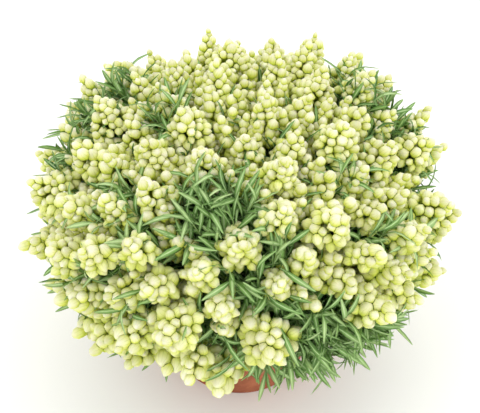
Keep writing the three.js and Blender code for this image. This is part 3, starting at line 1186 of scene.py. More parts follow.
class SharedEffects:
    """The effects that several finishes share, as node groups."""

    BROAD_DETAIL, FINE_DETAIL, GRAIN_DETAIL = 3.0, 2.0, 4.0
    BROAD_SHARE, FINE_SHARE = 0.65, 0.35
    GRAIN_SHARE, CELL_SHARE = 0.7, 0.3
    CONTRAST = (0.32, 0.68)

    def __init__(self) -> None:
        """Build the groups."""
        self.mottle = self._mottle()
        self.relief = self._relief()

    @staticmethod
    def _group(
        name: str, values: dict[str, float], output: str
    ) -> tuple[bpy.types.NodeTree, Graph, list[Socket]]:
        """Start a group whose inputs are a vector and some values.

        Args:
            name: Its name.
            values: The values that it starts with, by name.
            output: The name of its one output.

        Returns:
            The group, its graph and its inputs.
        """
        tree = bpy.data.node_groups.new(name, "ShaderNodeTree")
        tree.interface.new_socket("Vector", in_out="INPUT", socket_type="NodeSocketVector")
        for label, value in values.items():
            socket = tree.interface.new_socket(label, in_out="INPUT", socket_type="NodeSocketFloat")
            socket.default_value = value
        tree.interface.new_socket(output, in_out="OUTPUT", socket_type="NodeSocketFloat")
        graph = Graph(tree)
        return tree, graph, graph.node("NodeGroupInput").outputs[: 1 + len(values)]

    def _mottle(self) -> bpy.types.NodeTree:
        """Build uneven patches of two sizes, as a share from 0 to 1.

        Returns:
            The group.
        """
        tree, graph, (vector, scale, ratio) = self._group("mottle", {"Scale": 40, "Fine": 6}, "Share")
        broad = graph.noise(vector, scale, self.BROAD_DETAIL)
        fine = graph.noise(vector, graph.times(scale, ratio), self.FINE_DETAIL)
        blended = graph.plus(graph.times(broad, self.BROAD_SHARE), graph.times(fine, self.FINE_SHARE))
        graph.node("NodeGroupOutput", {0: graph.span(blended, *self.CONTRAST)})
        return tree

    def _relief(self) -> bpy.types.NodeTree:
        """Build a fine uneven height.

        Returns:
            The group.
        """
        tree, graph, (vector, scale) = self._group("relief", {"Scale": 900}, "Height")
        grain = graph.noise(vector, scale, self.GRAIN_DETAIL)
        cells = graph.node("ShaderNodeTexVoronoi", {"Vector": vector, "Scale": scale}).outputs[0]
        height = graph.plus(graph.times(grain, self.GRAIN_SHARE), graph.times(cells, self.CELL_SHARE))
        graph.node("NodeGroupOutput", {0: height})
        return tree


@dataclass(frozen=True)
class Finish:
    """What all finishes have: the shared effects, a name, a roughness and a shine."""

    effects: SharedEffects
    name: str
    roughness: float
    shine: float

    def _started(self) -> tuple[bpy.types.Material, Graph, bpy.types.bpy_prop_collection]:
        """Start the material.

        Returns:
            The material, its graph and its coordinates.
        """
        material = bpy.data.materials.new(self.name)
        material.use_nodes = True
        graph = Graph(material.node_tree)
        return material, graph, graph.node("ShaderNodeTexCoord").outputs

    def _tints(self, graph: Graph) -> list[Socket]:
        """Return the three parts of each copy's tint."""
        tint = graph.node("ShaderNodeAttribute", attribute_name=Gathered.TINT).outputs[0]
        return graph.node("ShaderNodeSeparateColor", {0: tint}).outputs[:3]

    def _patches(self, graph: Graph, vector: Socket, scale: float, fine: float = 6.0) -> Socket:
        """Return the mottle group's share at a scale."""
        inputs = {"Vector": vector, "Scale": scale, "Fine": fine}
        return graph.node("ShaderNodeGroup", inputs, node_tree=self.effects.mottle).outputs[0]

    def _height(self, graph: Graph, vector: Socket, scale: float) -> Socket:
        """Return the relief group's height at a scale."""
        inputs = {"Vector": vector, "Scale": scale}
        return graph.node("ShaderNodeGroup", inputs, node_tree=self.effects.relief).outputs[0]

    def _ended(self, graph: Graph, colour: object, height: object, depth: float, **sockets: object) -> None:
        """Close the graph with its one shader.

        Args:
            graph: The graph.
            colour: The base colour.
            height: The height for the bump.
            depth: The bump's depth in metres.
            sockets: Further sockets of the shader, with _ for a space.
        """
        bump = graph.node("ShaderNodeBump", {"Height": height, "Distance": depth, "Strength": 1.0})
        inputs = {"Base Color": colour, "Normal": bump.outputs[0], "Roughness": self.roughness}
        inputs["Specular IOR Level"] = self.shine
        inputs.update({name.replace("_", " "): value for name, value in sockets.items()})
        shader = graph.node("ShaderNodeBsdfPrincipled", inputs)
        graph.node("ShaderNodeOutputMaterial", {"Surface": shader.outputs[0]})


@dataclass(frozen=True)
class CalyxFinish(Finish):
    """Papery pale lime skin with fine lengthwise veins, and painted light.

    Its base is greener, partly its own colour and partly painted shade where calyces meet.
    Calyces towards a head's base, inside the dome, get painted shade, greener and darker.
    The mouth and the upward faces get a painted cream highlight, and the creases between
    calyces a painted dark green shade.

    The tint holds each calyx's share of painted light, how light it is, and 1 for the green stalks.
    """

    name: str = "calyx_skin"
    roughness: float = 0.55
    shine: float = 0.12
    painted_light: tuple[tuple[float, Hue], ...] = (
        (0.08, Hue.OLIVE), (0.32, Hue.CITRON), (0.58, Hue.LIME), (0.86, Hue.CREAM),
    )
    painted_shade_hues: tuple[tuple[float, Hue], ...] = ((0.15, Hue.MOSS), (0.45, Hue.OLIVE), (0.8, Hue.CITRON))
    # Painted light: the facing range, and how far it shifts downward faces into painted shade and upward
    # faces into a painted highlight.
    down_and_up: tuple[float, float] = (-0.5, 0.9)
    painted_shade_and_highlight: tuple[float, float] = (-0.24, 0.1)
    veins: float = 10.0
    vein_width: float = 0.34
    vein_ends: tuple[float, float] = (0.35, 0.95)
    vein_fade: tuple[float, float] = (0.5, 0.12)
    darkest: float = 0.86
    light_share: float = 0.2
    patch_share: float = 0.08
    patch_scale: float = 35.0
    warmth: float = 1.6
    crease_shade_width: float = 1.3 * MM
    crease_shade_rays: int = 4
    crease_shade_span: tuple[float, float] = (0.24, 0.64)
    grain_scale: float = 1500.0
    grain_depth: float = 0.12 * MM
    glow: float = 0.3
    glow_depth: float = 3 * MM
    glow_hues: tuple[float, float, float] = (0.8, 1.0, 0.45)

    def _skin(self, graph: Graph, normal: Socket, along: Socket, painted_light: Socket) -> Socket:
        """Colour the skin from base to mouth, with a painted highlight on the upward faces and painted shade
        on the downward ones.

        Args:
            graph: The graph.
            normal: The way that the surface faces.
            along: The share of the calyx's length.
            painted_light: The calyx's share of painted light; a low share gets painted shade, greener and
                darker.

        Returns:
            The colour.
        """
        # Painted light: the ramp runs from a greener base, partly the calyx's own colour and partly painted
        # shade where calyces meet, to a painted cream highlight at the mouth; the facing shift adds a painted
        # highlight on upward faces and painted shade on downward ones.
        up = graph.parts(normal)[2]
        pale = graph.plus(along, graph.span(up, *self.down_and_up, *self.painted_shade_and_highlight))
        # Painted shade: calyces with a low share of painted light, towards their heads' base, take the
        # greener and darker ramp.
        green = graph.math("SUBTRACT", 1.0, painted_light)
        return graph.mix(green, graph.ramp(pale, self.painted_light), graph.ramp(pale, self.painted_shade_hues))

    def _shade(self, graph: Graph, place: Socket, light: Socket) -> Socket:
        """Shade each calyx by its own lightness and by patches, warmer where it is darker.

        Args:
            graph: The graph.
            place: The place on the plant.
            light: The calyx's own lightness.

        Returns:
            The colour to multiply by.
        """
        patches = graph.times(self._patches(graph, place, self.patch_scale), self.patch_share)
        level = graph.plus(graph.plus(graph.times(light, self.light_share), patches), self.darkest)
        blue = graph.math("POWER", level, self.warmth)
        return graph.node("ShaderNodeCombineColor", {0: level, 1: level, 2: blue}).outputs[0]

    def build(self) -> bpy.types.Material:
        """Build the material.

        Returns:
            The material.
        """
        material, graph, coordinates = self._started()
        painted_light, light, stalk = self._tints(graph)
        across, along, _ = graph.parts(coordinates["UV"])
        place = coordinates["Object"]
        skin = self._skin(graph, coordinates["Normal"], along, painted_light)
        wave = graph.math("ABSOLUTE", graph.math("SINE", graph.times(across, self.veins * math.pi)))
        vein = graph.span(wave, 0.0, self.vein_width, 1.0, 0.0)
        fade = graph.span(along, *self.vein_ends, *self.vein_fade)
        skin = graph.mix(graph.times(vein, fade), skin, Hue.VEIN.linear)
        skin = graph.mix(1.0, skin, self._shade(graph, place, light), "MULTIPLY")
        # Painted shade: a dark green is mixed into the colour where ambient occlusion finds other calyces
        # close by, in the creases between them.
        inputs = {"Distance": self.crease_shade_width}
        crease_shade = graph.node("ShaderNodeAmbientOcclusion", inputs, samples=self.crease_shade_rays).outputs["AO"]
        skin = graph.mix(graph.span(crease_shade, *self.crease_shade_span), Hue.CREASE.linear, skin)
        colour = graph.mix(stalk, skin, Hue.PEDUNCLE.linear)
        height = graph.math("SUBTRACT", self._height(graph, place, self.grain_scale), vein)
        self._ended(
            graph, colour, height, self.grain_depth, Subsurface_Weight=self.glow,
            Subsurface_Radius=self.glow_hues, Subsurface_Scale=self.glow_depth,
        )
        return material


@dataclass(frozen=True)
class LeafFinish(Finish):
    """Mid-green blade with a pale midrib, with painted shade that makes it darker the deeper it stands in the
    dome.

    The tint holds how light a leaf is, which is painted shade deep in the dome and painted sunlight
    in the bare patches and seams, with a drawn shift; its own draw; and 1 for the stems.
    """

    name: str = "leaf_blade"
    roughness: float = 0.5
    shine: float = 0.22
    hues: tuple[tuple[float, Hue], ...] = ((0.08, Hue.LEAF_DARK), (0.55, Hue.LEAF_MID), (1.0, Hue.LEAF_PALE))
    patch_scale: float = 60.0
    patch_reach: float = 0.16
    draw_reach: float = 0.2
    root_and_point: tuple[float, float] = (0.1, 0.9)
    root_to_point: tuple[float, float] = (-0.14, 0.08)
    rib_edge: tuple[float, float] = (0.05, 0.34)
    rib_ends: tuple[float, float] = (0.6, 1.0)
    rib_fade: tuple[float, float] = (0.62, 0.1)
    rim: tuple[float, float] = (0.82, 1.0)
    rim_darkness: float = 0.3
    veins: float = 28.0
    vein_height: float = 0.3
    grain_scale: float = 1200.0
    grain_depth: float = 0.08 * MM

    @staticmethod
    def _about_zero(graph: Graph, share: Socket, reach: float) -> Socket:
        """Return a share as a shift to both sides of 0."""
        return graph.times(graph.math("SUBTRACT", share, 0.5), reach)

    def build(self) -> bpy.types.Material:
        """Build the material.

        Returns:
            The material.
        """
        material, graph, coordinates = self._started()
        tone, draw, stem = self._tints(graph)
        across, along, _ = graph.parts(coordinates["UV"])
        place = coordinates["Object"]
        patches = self._patches(graph, place, self.patch_scale)
        level = graph.plus(tone, self._about_zero(graph, patches, self.patch_reach))
        level = graph.plus(level, self._about_zero(graph, draw, self.draw_reach))
        level = graph.plus(level, graph.span(along, *self.root_and_point, *self.root_to_point))
        rib = graph.times(
            graph.span(across, *self.rib_edge, 1.0, 0.0), graph.span(along, *self.rib_ends, *self.rib_fade)
        )
        blade = graph.mix(rib, graph.ramp(level, self.hues), Hue.MIDRIB.linear)
        blade = graph.mix(graph.span(across, *self.rim, 0.0, self.rim_darkness), blade, Hue.LEAF_DARK.linear)
        colour = graph.mix(stem, blade, Hue.STEM.linear)
        veins = graph.times(graph.math("SINE", graph.times(across, self.veins)), self.vein_height)
        height = graph.plus(self._height(graph, place, self.grain_scale), veins)
        self._ended(graph, colour, height, self.grain_depth)
        return material


@dataclass(frozen=True)
class ClayFinish(Finish):
    """Fired clay with turning lines, darker patches and flecks, and a chalky bloom near its top."""

    name: str = "fired_clay"
    roughness: float = 0.85
    shine: float = 0.25
    patch_scale: float = 18.0
    fleck_scale: float = 260.0
    fleck_fineness: float = 3.0
    fleck_share: float = 0.22
    bloom_heights: tuple[float, float] = (30 * MM, 92 * MM)
    bloom_patches: tuple[float, float] = (0.35, 1.0)
    bloom_share: float = 0.55
    line_scale: float = 120.0
    line_waver: float = 1.5
    line_height: float = 0.6
    grain_scale: float = 700.0
    grain_depth: float = 0.35 * MM

    def build(self) -> bpy.types.Material:
        """Build the material.

        Returns:
            The material.
        """
        material, graph, coordinates = self._started()
        place = coordinates["Object"]
        patches = self._patches(graph, place, self.patch_scale)
        flecks = self._patches(graph, place, self.fleck_scale, self.fleck_fineness)
        colour = graph.mix(patches, Hue.CLAY_DARK.linear, Hue.CLAY.linear)
        colour = graph.mix(graph.times(flecks, self.fleck_share), colour, Hue.CLAY_DARK.linear)
        high_up = graph.span(graph.parts(place)[2], *self.bloom_heights)
        patchy = graph.span(patches, *self.bloom_patches, 0.0, self.bloom_share)
        colour = graph.mix(graph.times(high_up, patchy), colour, Hue.BLOOM.linear)
        inputs = {"Vector": place, "Scale": self.line_scale, "Distortion": self.line_waver}
        lines = graph.node("ShaderNodeTexWave", inputs, bands_direction="Z").outputs[1]
        grain = self._height(graph, place, self.grain_scale)
        height = graph.plus(grain, graph.times(lines, self.line_height))
        self._ended(graph, colour, height, self.grain_depth)
        return material


@dataclass(frozen=True)
class SoilFinish(Finish):
    """Dark crumbly potting soil."""

    name: str = "potting_soil"
    roughness: float = 0.95
    shine: float = 0.15
    patch_scale: float = 120.0
    patch_fineness: float = 5.0
    grain_scale: float = 320.0
    grain_depth: float = 1.2 * MM

    def build(self) -> bpy.types.Material:
        """Build the material.

        Returns:
            The material.
        """
        material, graph, coordinates = self._started()
        place = coordinates["Object"]
        patches = self._patches(graph, place, self.patch_scale, self.patch_fineness)
        colour = graph.mix(patches, Hue.HUMUS.linear, Hue.LOAM.linear)
        self._ended(graph, colour, self._height(graph, place, self.grain_scale), self.grain_depth)
        return material


@dataclass(frozen=True)
class FloorFinish(Finish):
    """The plain pale floor."""

    name: str = "pale_floor"
    roughness: float = 0.9
    shine: float = 0.1
    grain_scale: float = 60.0

    def build(self) -> bpy.types.Material:
        """Build the material.

        Returns:
            The material.
        """
        material, graph, coordinates = self._started()
        height = self._height(graph, coordinates["Object"], self.grain_scale)
        self._ended(graph, Hue.FLOOR.linear, height, 0.0)
        return material


# The object's parts


@dataclass
class FlowerHeads:
    """Heads of inflated calyces: pointed spikes made of rounded bunches of them."""

    layout: Layout
    finish: bpy.types.Material
    shapes: list[Shape]
    inner_shape: Shape
    inner_depth: float = 0.86
    neighbours: int = 5
    buried: float = 0.85
    bunches: int = 6
    span: float = 1.85
    bunch_heart: float = 0.42
    bunch_angle: float = math.radians(40)
    valley: float = 0.80
    fuller: float = 1.14
    calyx: float = 12.2 * MM
    least_width: float = 0.7
    wider_below: float = 0.22
    wider_in_front: float = 0.4
    size_draw: tuple[float, float] = (0.74, 1.18)
    length_draw: tuple[float, float] = (0.94, 1.08)
    shape_width: float = 0.86
    slender: float = 1.14
    sunk: float = 0.42
    spacing: float = 0.67
    tries: int = 300
    tilt: float = 0.25
    unevenness: float = 1.6 * MM
    lowest: float = -0.62
    tip_reach: float = 3.0 * MM
    tip_size: float = 0.85
    # Painted light: a calyx's share is high at its head's tip and low towards the base, where the finish
    # paints shade.
    painted_light_base: float = 0.48
    painted_light_outwards: float = 0.7
    painted_light_draw: tuple[float, float] = (-0.12, 0.08)
    neck_radius: float = 2.0 * MM
    neck_top: float = 0.7
    neck_inside: float = 0.3
    side_radius: float = 0.9 * MM
    side_joint: float = 0.45
    between_layers: tuple[tuple[int, float, float], ...] = ((900, 0.9, 1.04), (700, 0.8, 1.3))
    between_free: float = 5 * MM
    between_radius: tuple[float, float] = (8 * MM, 15 * MM)
    between_length: tuple[float, float] = (30 * MM, 42 * MM)
    seed: int = 11

    def __post_init__(self) -> None:
        """Start the draws and find room for the small heads."""
        self.draw = random.Random(self.seed)
        self.small = self._between_tips()
        self.tips = [tip for tip in self.layout.tips if tip.radius] + self.small
        self.tree = KDTree(len(self.tips))
        for i, tip in enumerate(self.tips):
            self.tree.insert(tip.middle, i)
        self.tree.balance()

    def _is_buried(self, tip: Tip, middle: Vector) -> bool:
        """Tell whether a calyx lies hidden deep in a head other than its own.

        Args:
            tip: The tip that carries its head.
            middle: Its middle.

        Returns:
            True for a hidden one.
        """
        near = [(self.tips[i], gap) for _, i, gap in self.tree.find_n(middle, self.neighbours)]
        return any(gap < other.radius * self.buried for other, gap in near if other is not tip)

    def _drawn_vector(self) -> Vector:
        """Return a small vector in a drawn direction."""
        return Vector([self.draw.uniform(-1, 1) for _ in range(3)])

    def _width_at(self, place: Vector) -> float:
        """Work out a calyx's width: larger low down and at the front, smaller at the top and back.

        Args:
            place: The head's tip.

        Returns:
            The width.
        """
        dome = self.layout.dome
        low = (dome.middle + dome.half_height - place.z) / (2 * dome.half_height)
        front = 0.5 - place.y / (2 * dome.half_depth)
        share = self.least_width + self.wider_below * min(1.0, low) + self.wider_in_front * front
        return self.calyx * share

    def _calyces(self, tip: Tip) -> list[tuple[Vector, Vector, float]]:
        """Place the calyces of a head, side by side all over its bunches.

        Args:
            tip: The shoot tip that carries the head.

        Returns:
            The middle, way out and width of each calyx.
        """
        width = self._width_at(tip.place)
        bunches = [
            direction_at(1 - i / self.bunches * self.span, tip.turn + i * GOLDEN_ANGLE)
            for i in range(self.bunches)
        ]
        hearts = [tip.on_head(bunch, self.bunch_heart) for bunch in bunches]
        edge = math.cos(self.bunch_angle)
        kept: list[tuple[Vector, Vector, float]] = []
        for i in range(self.tries):
            direction = direction_at(1 - i / self.tries * (1 - self.lowest), tip.turn + i * GOLDEN_ANGLE)
            nearness = [direction.dot(bunch) for bunch in bunches]
            own = nearness.index(max(nearness))
            swell = max(0.0, (nearness[own] - edge) / (1 - edge))
            bulge = self.valley + (1 - self.valley) * math.sqrt(swell)
            surface = tip.on_head(direction, self.fuller * bulge)
            way = (surface - hearts[own]).normalized()
            way = (way + self._drawn_vector() * self.tilt).normalized()
            size = width * self.draw.uniform(*self.size_draw)
            sunk = size * self.slender * self.sunk - self.draw.uniform(-1, 1) * self.unevenness
            middle = surface - way * sunk
            if i == 0:
                middle += tip.axis * self.tip_reach
                size *= self.tip_size
            if all((middle - other).length > self.spacing * (size + near) / 2 for other, _, near in kept):
                kept.append((middle, way, size))
        return [calyx for calyx in kept if not self._is_buried(tip, calyx[0])]

    def _between_tips(self) -> list[Tip]:
        """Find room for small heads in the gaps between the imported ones.

        Returns:
            Their tips.
        """
        dome = self.layout.dome
        taken = [(tip.middle, tip.radius) for tip in self.layout.tips if tip.radius]
        made = []
        for k, (place, grown) in enumerate(dome.layers(self.between_layers)):
            if dome.is_leafy(place, grown):
                continue
            tip = Tip(place, dome.outward(place), self.draw.uniform(*self.between_length), k)
            free = min((tip.middle - middle).length - radius for middle, radius in taken)
            if free < self.between_free:
                continue
            tip.radius = min(self.between_radius[1], max(self.between_radius[0], free))
            taken.append((tip.middle, tip.radius))
            made.append(tip)
        return made

    def _matrix(self, middle: Vector, way: Vector, width: float) -> Matrix:
        """Place a calyx, with a drawn length and a drawn turn about its axis.

        Args:
            middle: Its middle.
            way: The way that its mouth faces.
            width: Its width.

        Returns:
            The place, as a matrix.
        """
        length = width * self.slender * self.draw.uniform(*self.length_draw)
        across = sideways(way, self.draw.uniform(0, 2 * math.pi))
        upper = way.cross(across) * width / self.shape_width
        across = across * width / self.shape_width
        return matrix_of(across, upper, way * length, middle - way * length / 2)

    def _painted_light_share(self, tip: Tip, middle: Vector) -> float:
        """Return a calyx's share of painted light: high at its head's tip, lower towards the head's base
        inside the dome, where the finish paints shade, greener and darker.
        """
        outer = 1 - (tip.place - middle).dot(tip.axis) / tip.length
        return as_share(self.painted_light_base + self.painted_light_outwards * outer + self.draw.uniform(*self.painted_light_draw))

    def _add_heads(self, gathered: Gathered, tips: list[Tip]) -> None:
        """Add the calyces of some heads to a mesh, plainer ones for heads deep in the dome.

        Args:
            gathered: The mesh.
            tips: The heads' tips.
        """
        shapes = [*self.shapes, self.inner_shape]
        places: list[list[Matrix]] = [[] for _ in shapes]
        tints: list[list[tuple[float, float, float]]] = [[] for _ in shapes]
        for tip in tips:
            inside = self.layout.dome.depth(tip.place) < self.inner_depth
            for middle, way, width in self._calyces(tip):
                kind = len(self.shapes) if inside else self.draw.randrange(len(self.shapes))
                places[kind].append(self._matrix(middle, way, width))
                tints[kind].append((self._painted_light_share(tip, middle), self.draw.random(), 0.0))
        for shape, own_places, own_tints in zip(shapes, places, tints):
            gathered.add(shape, own_places, own_tints)

    def _necks(self, fork: Fork, small: list[Tip]) -> StemShapes:
        """Model the necks of a fork's heads, and the thin stalks of the small heads round it.

        Args:
            fork: The fork.
            small: The small heads' tips.

        Returns:
            The necks and stalks.
        """
        stems = StemShapes()
        main = fork.main
        for tip in fork.heads:
            inside = tip.on_head(-UP, self.neck_inside)
            if tip is main:
                points, end = [inside, tip.base, fork.place, fork.foot], self.neck_radius
            else:
                joint = fork.place.lerp(main.base, self.side_joint)
                points, end = [inside, tip.base, joint], self.side_radius
            stems.add(points, self.neck_radius * self.neck_top, end)
        for tip in small:
            inside = tip.on_head(-UP, self.neck_inside)
            stems.add([inside, tip.base, fork.place], self.side_radius, self.side_radius)
        return stems

    def build(self) -> list[bpy.types.Object]:
        """Build a piece for each packed group of heads.

        Returns:
            The pieces.
        """
        forks = [fork for fork in self.layout.forks if fork.heads]
        small: list[list[Tip]] = [[] for _ in forks]
        for tip in self.small:
            small[nearest_of(tip.base, [fork.place for fork in forks])].append(tip)
        pieces = []
        for number, (fork, extra) in enumerate(zip(forks, small), 1):
            gathered = Gathered()
            self._add_heads(gathered, [*fork.heads, *extra])
            gathered.add_stems(self._necks(fork, extra))
            name = f"flower_heads_{number:02d}"
            pieces.append(gathered.piece(f"calyces_{number:02d}", self.finish, Slot.CALYX, name))
        return pieces


@dataclass(frozen=True)
class Leafing:
    """How a kind of shoot carries its leaves, and how many points its stem runs through.

    The leaves stand from the start to the end, as shares of its length, a step apart.
    """

    start: float
    end: float
    step: float
    size: float
    points: int


@dataclass
class Foliage:
    """Stems, twigs and narrow leaves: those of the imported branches, and more that fill them."""

    ON_STEM: ClassVar[Leafing] = Leafing(0.3, 0.9, PAIR_STEP, 1.0, 10)
    ON_TWIG: ClassVar[Leafing] = Leafing(0.25, 1.0, PAIR_STEP, 1.15, 5)
    IN_PATCH: ClassVar[Leafing] = Leafing(0.2, 1.0, PAIR_STEP * 0.85, 1.0, 5)
    INSIDE: ClassVar[Leafing] = Leafing(0.2, 1.0, PAIR_STEP * 1.3, 1.0, 4)
    ON_SKIRT: ClassVar[Leafing] = Leafing(0.3, 1.0, PAIR_STEP * 1.3, 1.25, 7)

    layout: Layout
    finish: bpy.types.Material
    shapes: list[Shape]
    inner_shape: Shape
    lone_growth: float = 1.35
    head_room: float = 2 * MM
    head_checks: tuple[float, ...] = (0.45, 0.75, 1.0)
    leaf_length: tuple[float, float] = (24 * MM, 36 * MM)
    leaf_width: tuple[float, float] = (4.2 * MM, 5.6 * MM)
    leaf_angle: tuple[float, float] = (math.radians(22), math.radians(56))
    pair_turn: float = 0.3
    leaf_turn: float = 0.25
    missing: float = 0.08
    facing: float = 1.6
    roll: float = 0.7
    darkest: float = 0.08
    sunlit: float = 0.68
    shaded: float = 0.48
    sunlit_growth: float = 1.3
    tone_draw: tuple[float, float] = (-0.14, 0.18)
    trunk_bottom: float = 58.35 * MM
    trunk_top: float = 102 * MM
    trunk_radius: float = 3.8 * MM
    patch_layers: tuple[tuple[int, float, float], ...] = (
        (520, 0.72, 1.12), (540, 0.8, 1.08), (560, 0.88, 0.98),
    )
    patch_radii: tuple[float, float] = (1.0 * MM, 0.6 * MM)
    patch_reach: float = 8 * MM
    patch_from: tuple[float, float] = (0.5, 0.8)
    fan_heart: tuple[float, float] = (15 * MM, -94 * MM)
    fan_reach: float = 34 * MM
    fan_towards: float = 0.3
    fan_spread: float = 0.45
    inner_twigs: int = 180
    inner_share: float = 0.72
    inner_radii: tuple[float, float] = (1.1 * MM, 0.7 * MM)
    inner_reach: float = 6 * MM
    inner_from: tuple[float, float] = (0.45, 0.75)
    fringe: int = 76
    fringe_turn: float = 0.3
    fringe_sine: tuple[float, float] = (-0.86, -0.6)
    fringe_share: tuple[float, float] = (0.8, 0.92)
    fringe_radii: tuple[float, float] = (1.3 * MM, 0.8 * MM)
    fringe_from: tuple[float, float] = (0.35, 0.7)
    fringe_bend: float = 0.6
    fringe_rise: float = 14 * MM
    seed: int = 5

    def __post_init__(self) -> None:
        """Start the draws and note the heads that stand alone among the leaves."""
        self.draw = random.Random(self.seed)
        dome = self.layout.dome
        heads = [tip for tip in self.layout.tips if tip.radius]
        self.alone = [tip for tip in heads if dome.is_bare(tip.place, self.lone_growth)]

    def _is_free(self, blade: Blade) -> bool:
        """Tell whether a leaf stays clear of the heads that stand alone, and doesn't hide them.

        Args:
            blade: The leaf.

        Returns:
            True for a leaf that stays.
        """
        dome = self.layout.dome
        for share in self.head_checks:
            point = blade.root + blade.way * blade.length * share
            for tip in self.alone:
                arm = dome.seen(point) - dome.seen(tip.middle)
                if arm.z > -tip.radius and arm.xy.length < tip.radius + self.head_room:
                    return False
        return True

    def _blade(self, root: Vector, heading: Vector, turn: float, size: float) -> Blade:
        """Set one leaf that leans out from a stem.

        Args:
            root: Its root.
            heading: The stem's direction there.
            turn: The turn about the stem.
            size: Its size, as a share of its own.

        Returns:
            The leaf.
        """
        dome = self.layout.dome
        lean = self.draw.uniform(*self.leaf_angle)
        way = heading * math.cos(lean) + sideways(heading, turn) * math.sin(lean)
        sunward = heading + dome.outward(root) * self.facing
        lift = (sunward - way * sunward.dot(way)).normalized()
        roll = self.draw.uniform(-self.roll, self.roll)
        lift = lift * math.cos(roll) + way.cross(lift) * math.sin(roll)
        # Painted light: leaves are painted darker the deeper they stand in the dome, as shade, and lighter in
        # the bare patches and seams, as sunlight.
        is_sunlit = dome.is_bare(root, self.sunlit_growth) or dome.is_seam(root, self.sunlit_growth)
        light = self.sunlit if is_sunlit else self.shaded
        tone = as_share(self.darkest + light * dome.depth(root) ** 2 + self.draw.uniform(*self.tone_draw))
        length = self.draw.uniform(*self.leaf_length) * size
        width = self.draw.uniform(*self.leaf_width) * size**0.5
        return Blade(root, way, lift, length, width, tone, self.draw.randrange(len(self.shapes)))

    def _pairs_on(self, course: Course, leafing: Leafing) -> list[Blade]:
        """Set leaves in crossed pairs along a course.

        Args:
            course: The stem's course.
            leafing: How it carries its leaves.

        Returns:
            The leaves.
        """
        blades = []
        start, end = leafing.start, leafing.end
        count = max(2, round(course.length * (end - start) / leafing.step))
        turn = self.draw.uniform(0, 2 * math.pi)
        for i in range(count):
            share = start + (end - start) * i / (count - 1)
            heading, root = course.heading(share), course.at(share)
            turn += math.pi / 2 + self.draw.uniform(-self.pair_turn, self.pair_turn)
            for side in (0, math.pi):
                if self.draw.random() < self.missing:
                    continue
                own_turn = turn + side + self.draw.uniform(-self.leaf_turn, self.leaf_turn)
                blades.append(self._blade(root, heading, own_turn, leafing.size))
        return [blade for blade in blades if self._is_free(blade)]

    def _grow(self, stems: StemShapes, shoot: Shoot, leafing: Leafing) -> list[Blade]:
        """Add a shoot to some stems and set its leaves.

        Args:
            stems: The stems.
            shoot: The shoot.
            leafing: How it carries its leaves.

        Returns:
            The leaves.
        """
        last = leafing.points - 1
        places = [shoot.course.at(i / last) for i in range(leafing.points)]
        stems.add(places, shoot.start_radius, shoot.end_radius)
        return self._pairs_on(shoot.course, leafing)

    def _piece(
        self, name: str, stems: StemShapes, blades: list[Blade], shapes: list[Shape], *nodes: str
    ) -> bpy.types.Object:
        """Make a piece of stems and leaves.

        Args:
            name: Its name.
            stems: The stems.
            blades: The leaves.
            shapes: The shapes that they take, by their bend.
            nodes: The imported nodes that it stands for.

        Returns:
            The piece.
        """
        gathered = Gathered()
        gathered.add_stems(stems)
        for bend, shape in enumerate(shapes):
            own = [blade for blade in blades if blade.bend % len(shapes) == bend]
            places = []
            for blade in own:
                across = blade.lift.cross(blade.way).normalized() * blade.width
                upper, along = blade.lift * blade.length, blade.way * blade.length
                places.append(matrix_of(across, upper, along, blade.root))
            gathered.add(shape, places, [(blade.tone, self.draw.random(), 0.0) for blade in own])
        return gathered.piece(name, self.finish, Slot.LEAF, *nodes)

    def _start_near(self, place: Vector, span: tuple[float, float]) -> Vector:
        """Return the place on the nearest stem, in a span of its length, where a shoot starts."""
        return self.layout.stem_near(place).course.at(self.draw.uniform(*span))

    def _branch(self, number: int) -> bpy.types.Object:
        """Build one branch.

        Args:
            number: Its number, from 0.

        Returns:
            The piece.
        """
        stems, blades = StemShapes(), list(self.layout.packed[number].leaves)
        hole = self.layout.holes[number]
        trunk = [hole + UP * self.trunk_bottom, hole + UP * self.trunk_top]
        stems.add(trunk, self.trunk_radius, self.trunk_radius)
        for shoots, leafing in ((self.layout.stems, self.ON_STEM), (self.layout.twigs, self.ON_TWIG)):
            for shoot in shoots:
                if shoot.branch == number:
                    blades += self._grow(stems, shoot, leafing)
        name = f"{number + 1:02d}"
        return self._piece(f"foliage_{name}", stems, blades, self.shapes, f"leafy_branch_{name}")

    def _fanned(self, place: Vector) -> Vector:
        """Find the way that a shoot in the leafy patches grows, fanned out from their heart.

        Args:
            place: The shoot's tip.

        Returns:
            A unit vector.
        """
        dome = self.layout.dome
        seen = dome.seen(place)
        turn = math.atan2(seen.y - self.fan_heart[1], seen.x - self.fan_heart[0])
        turn += self.draw.gauss(0, self.fan_spread)
        flat = Vector((1, 0, 0)) * math.cos(turn) + dome.seen_up * math.sin(turn)
        return (flat + dome.towards * self.fan_towards).normalized()

    def _filling(self) -> bpy.types.Object:
        """Build the shoots that close the leafy places, in layers, fanned out from the patches' heart.

        Returns:
            The piece.
        """
        dome = self.layout.dome
        stems, blades = StemShapes(), []
        for place, grown in dome.layers(self.patch_layers):
            if not dome.is_leafy(place, grown):
                continue
            way = self._fanned(place)
            end = place + way * self.draw.uniform(0, self.patch_reach)
            bend = end - way * self.fan_reach - dome.outward(place) * self.patch_reach
            course = Course(self._start_near(bend, self.patch_from), bend, end)
            first = max(self.IN_PATCH.start, 1 - self.fan_reach / course.length)
            shoot = Shoot(0, course, *self.patch_radii)
            blades += self._grow(stems, shoot, replace(self.IN_PATCH, start=first))
        return self._piece("foliage_patch", stems, blades, self.shapes)

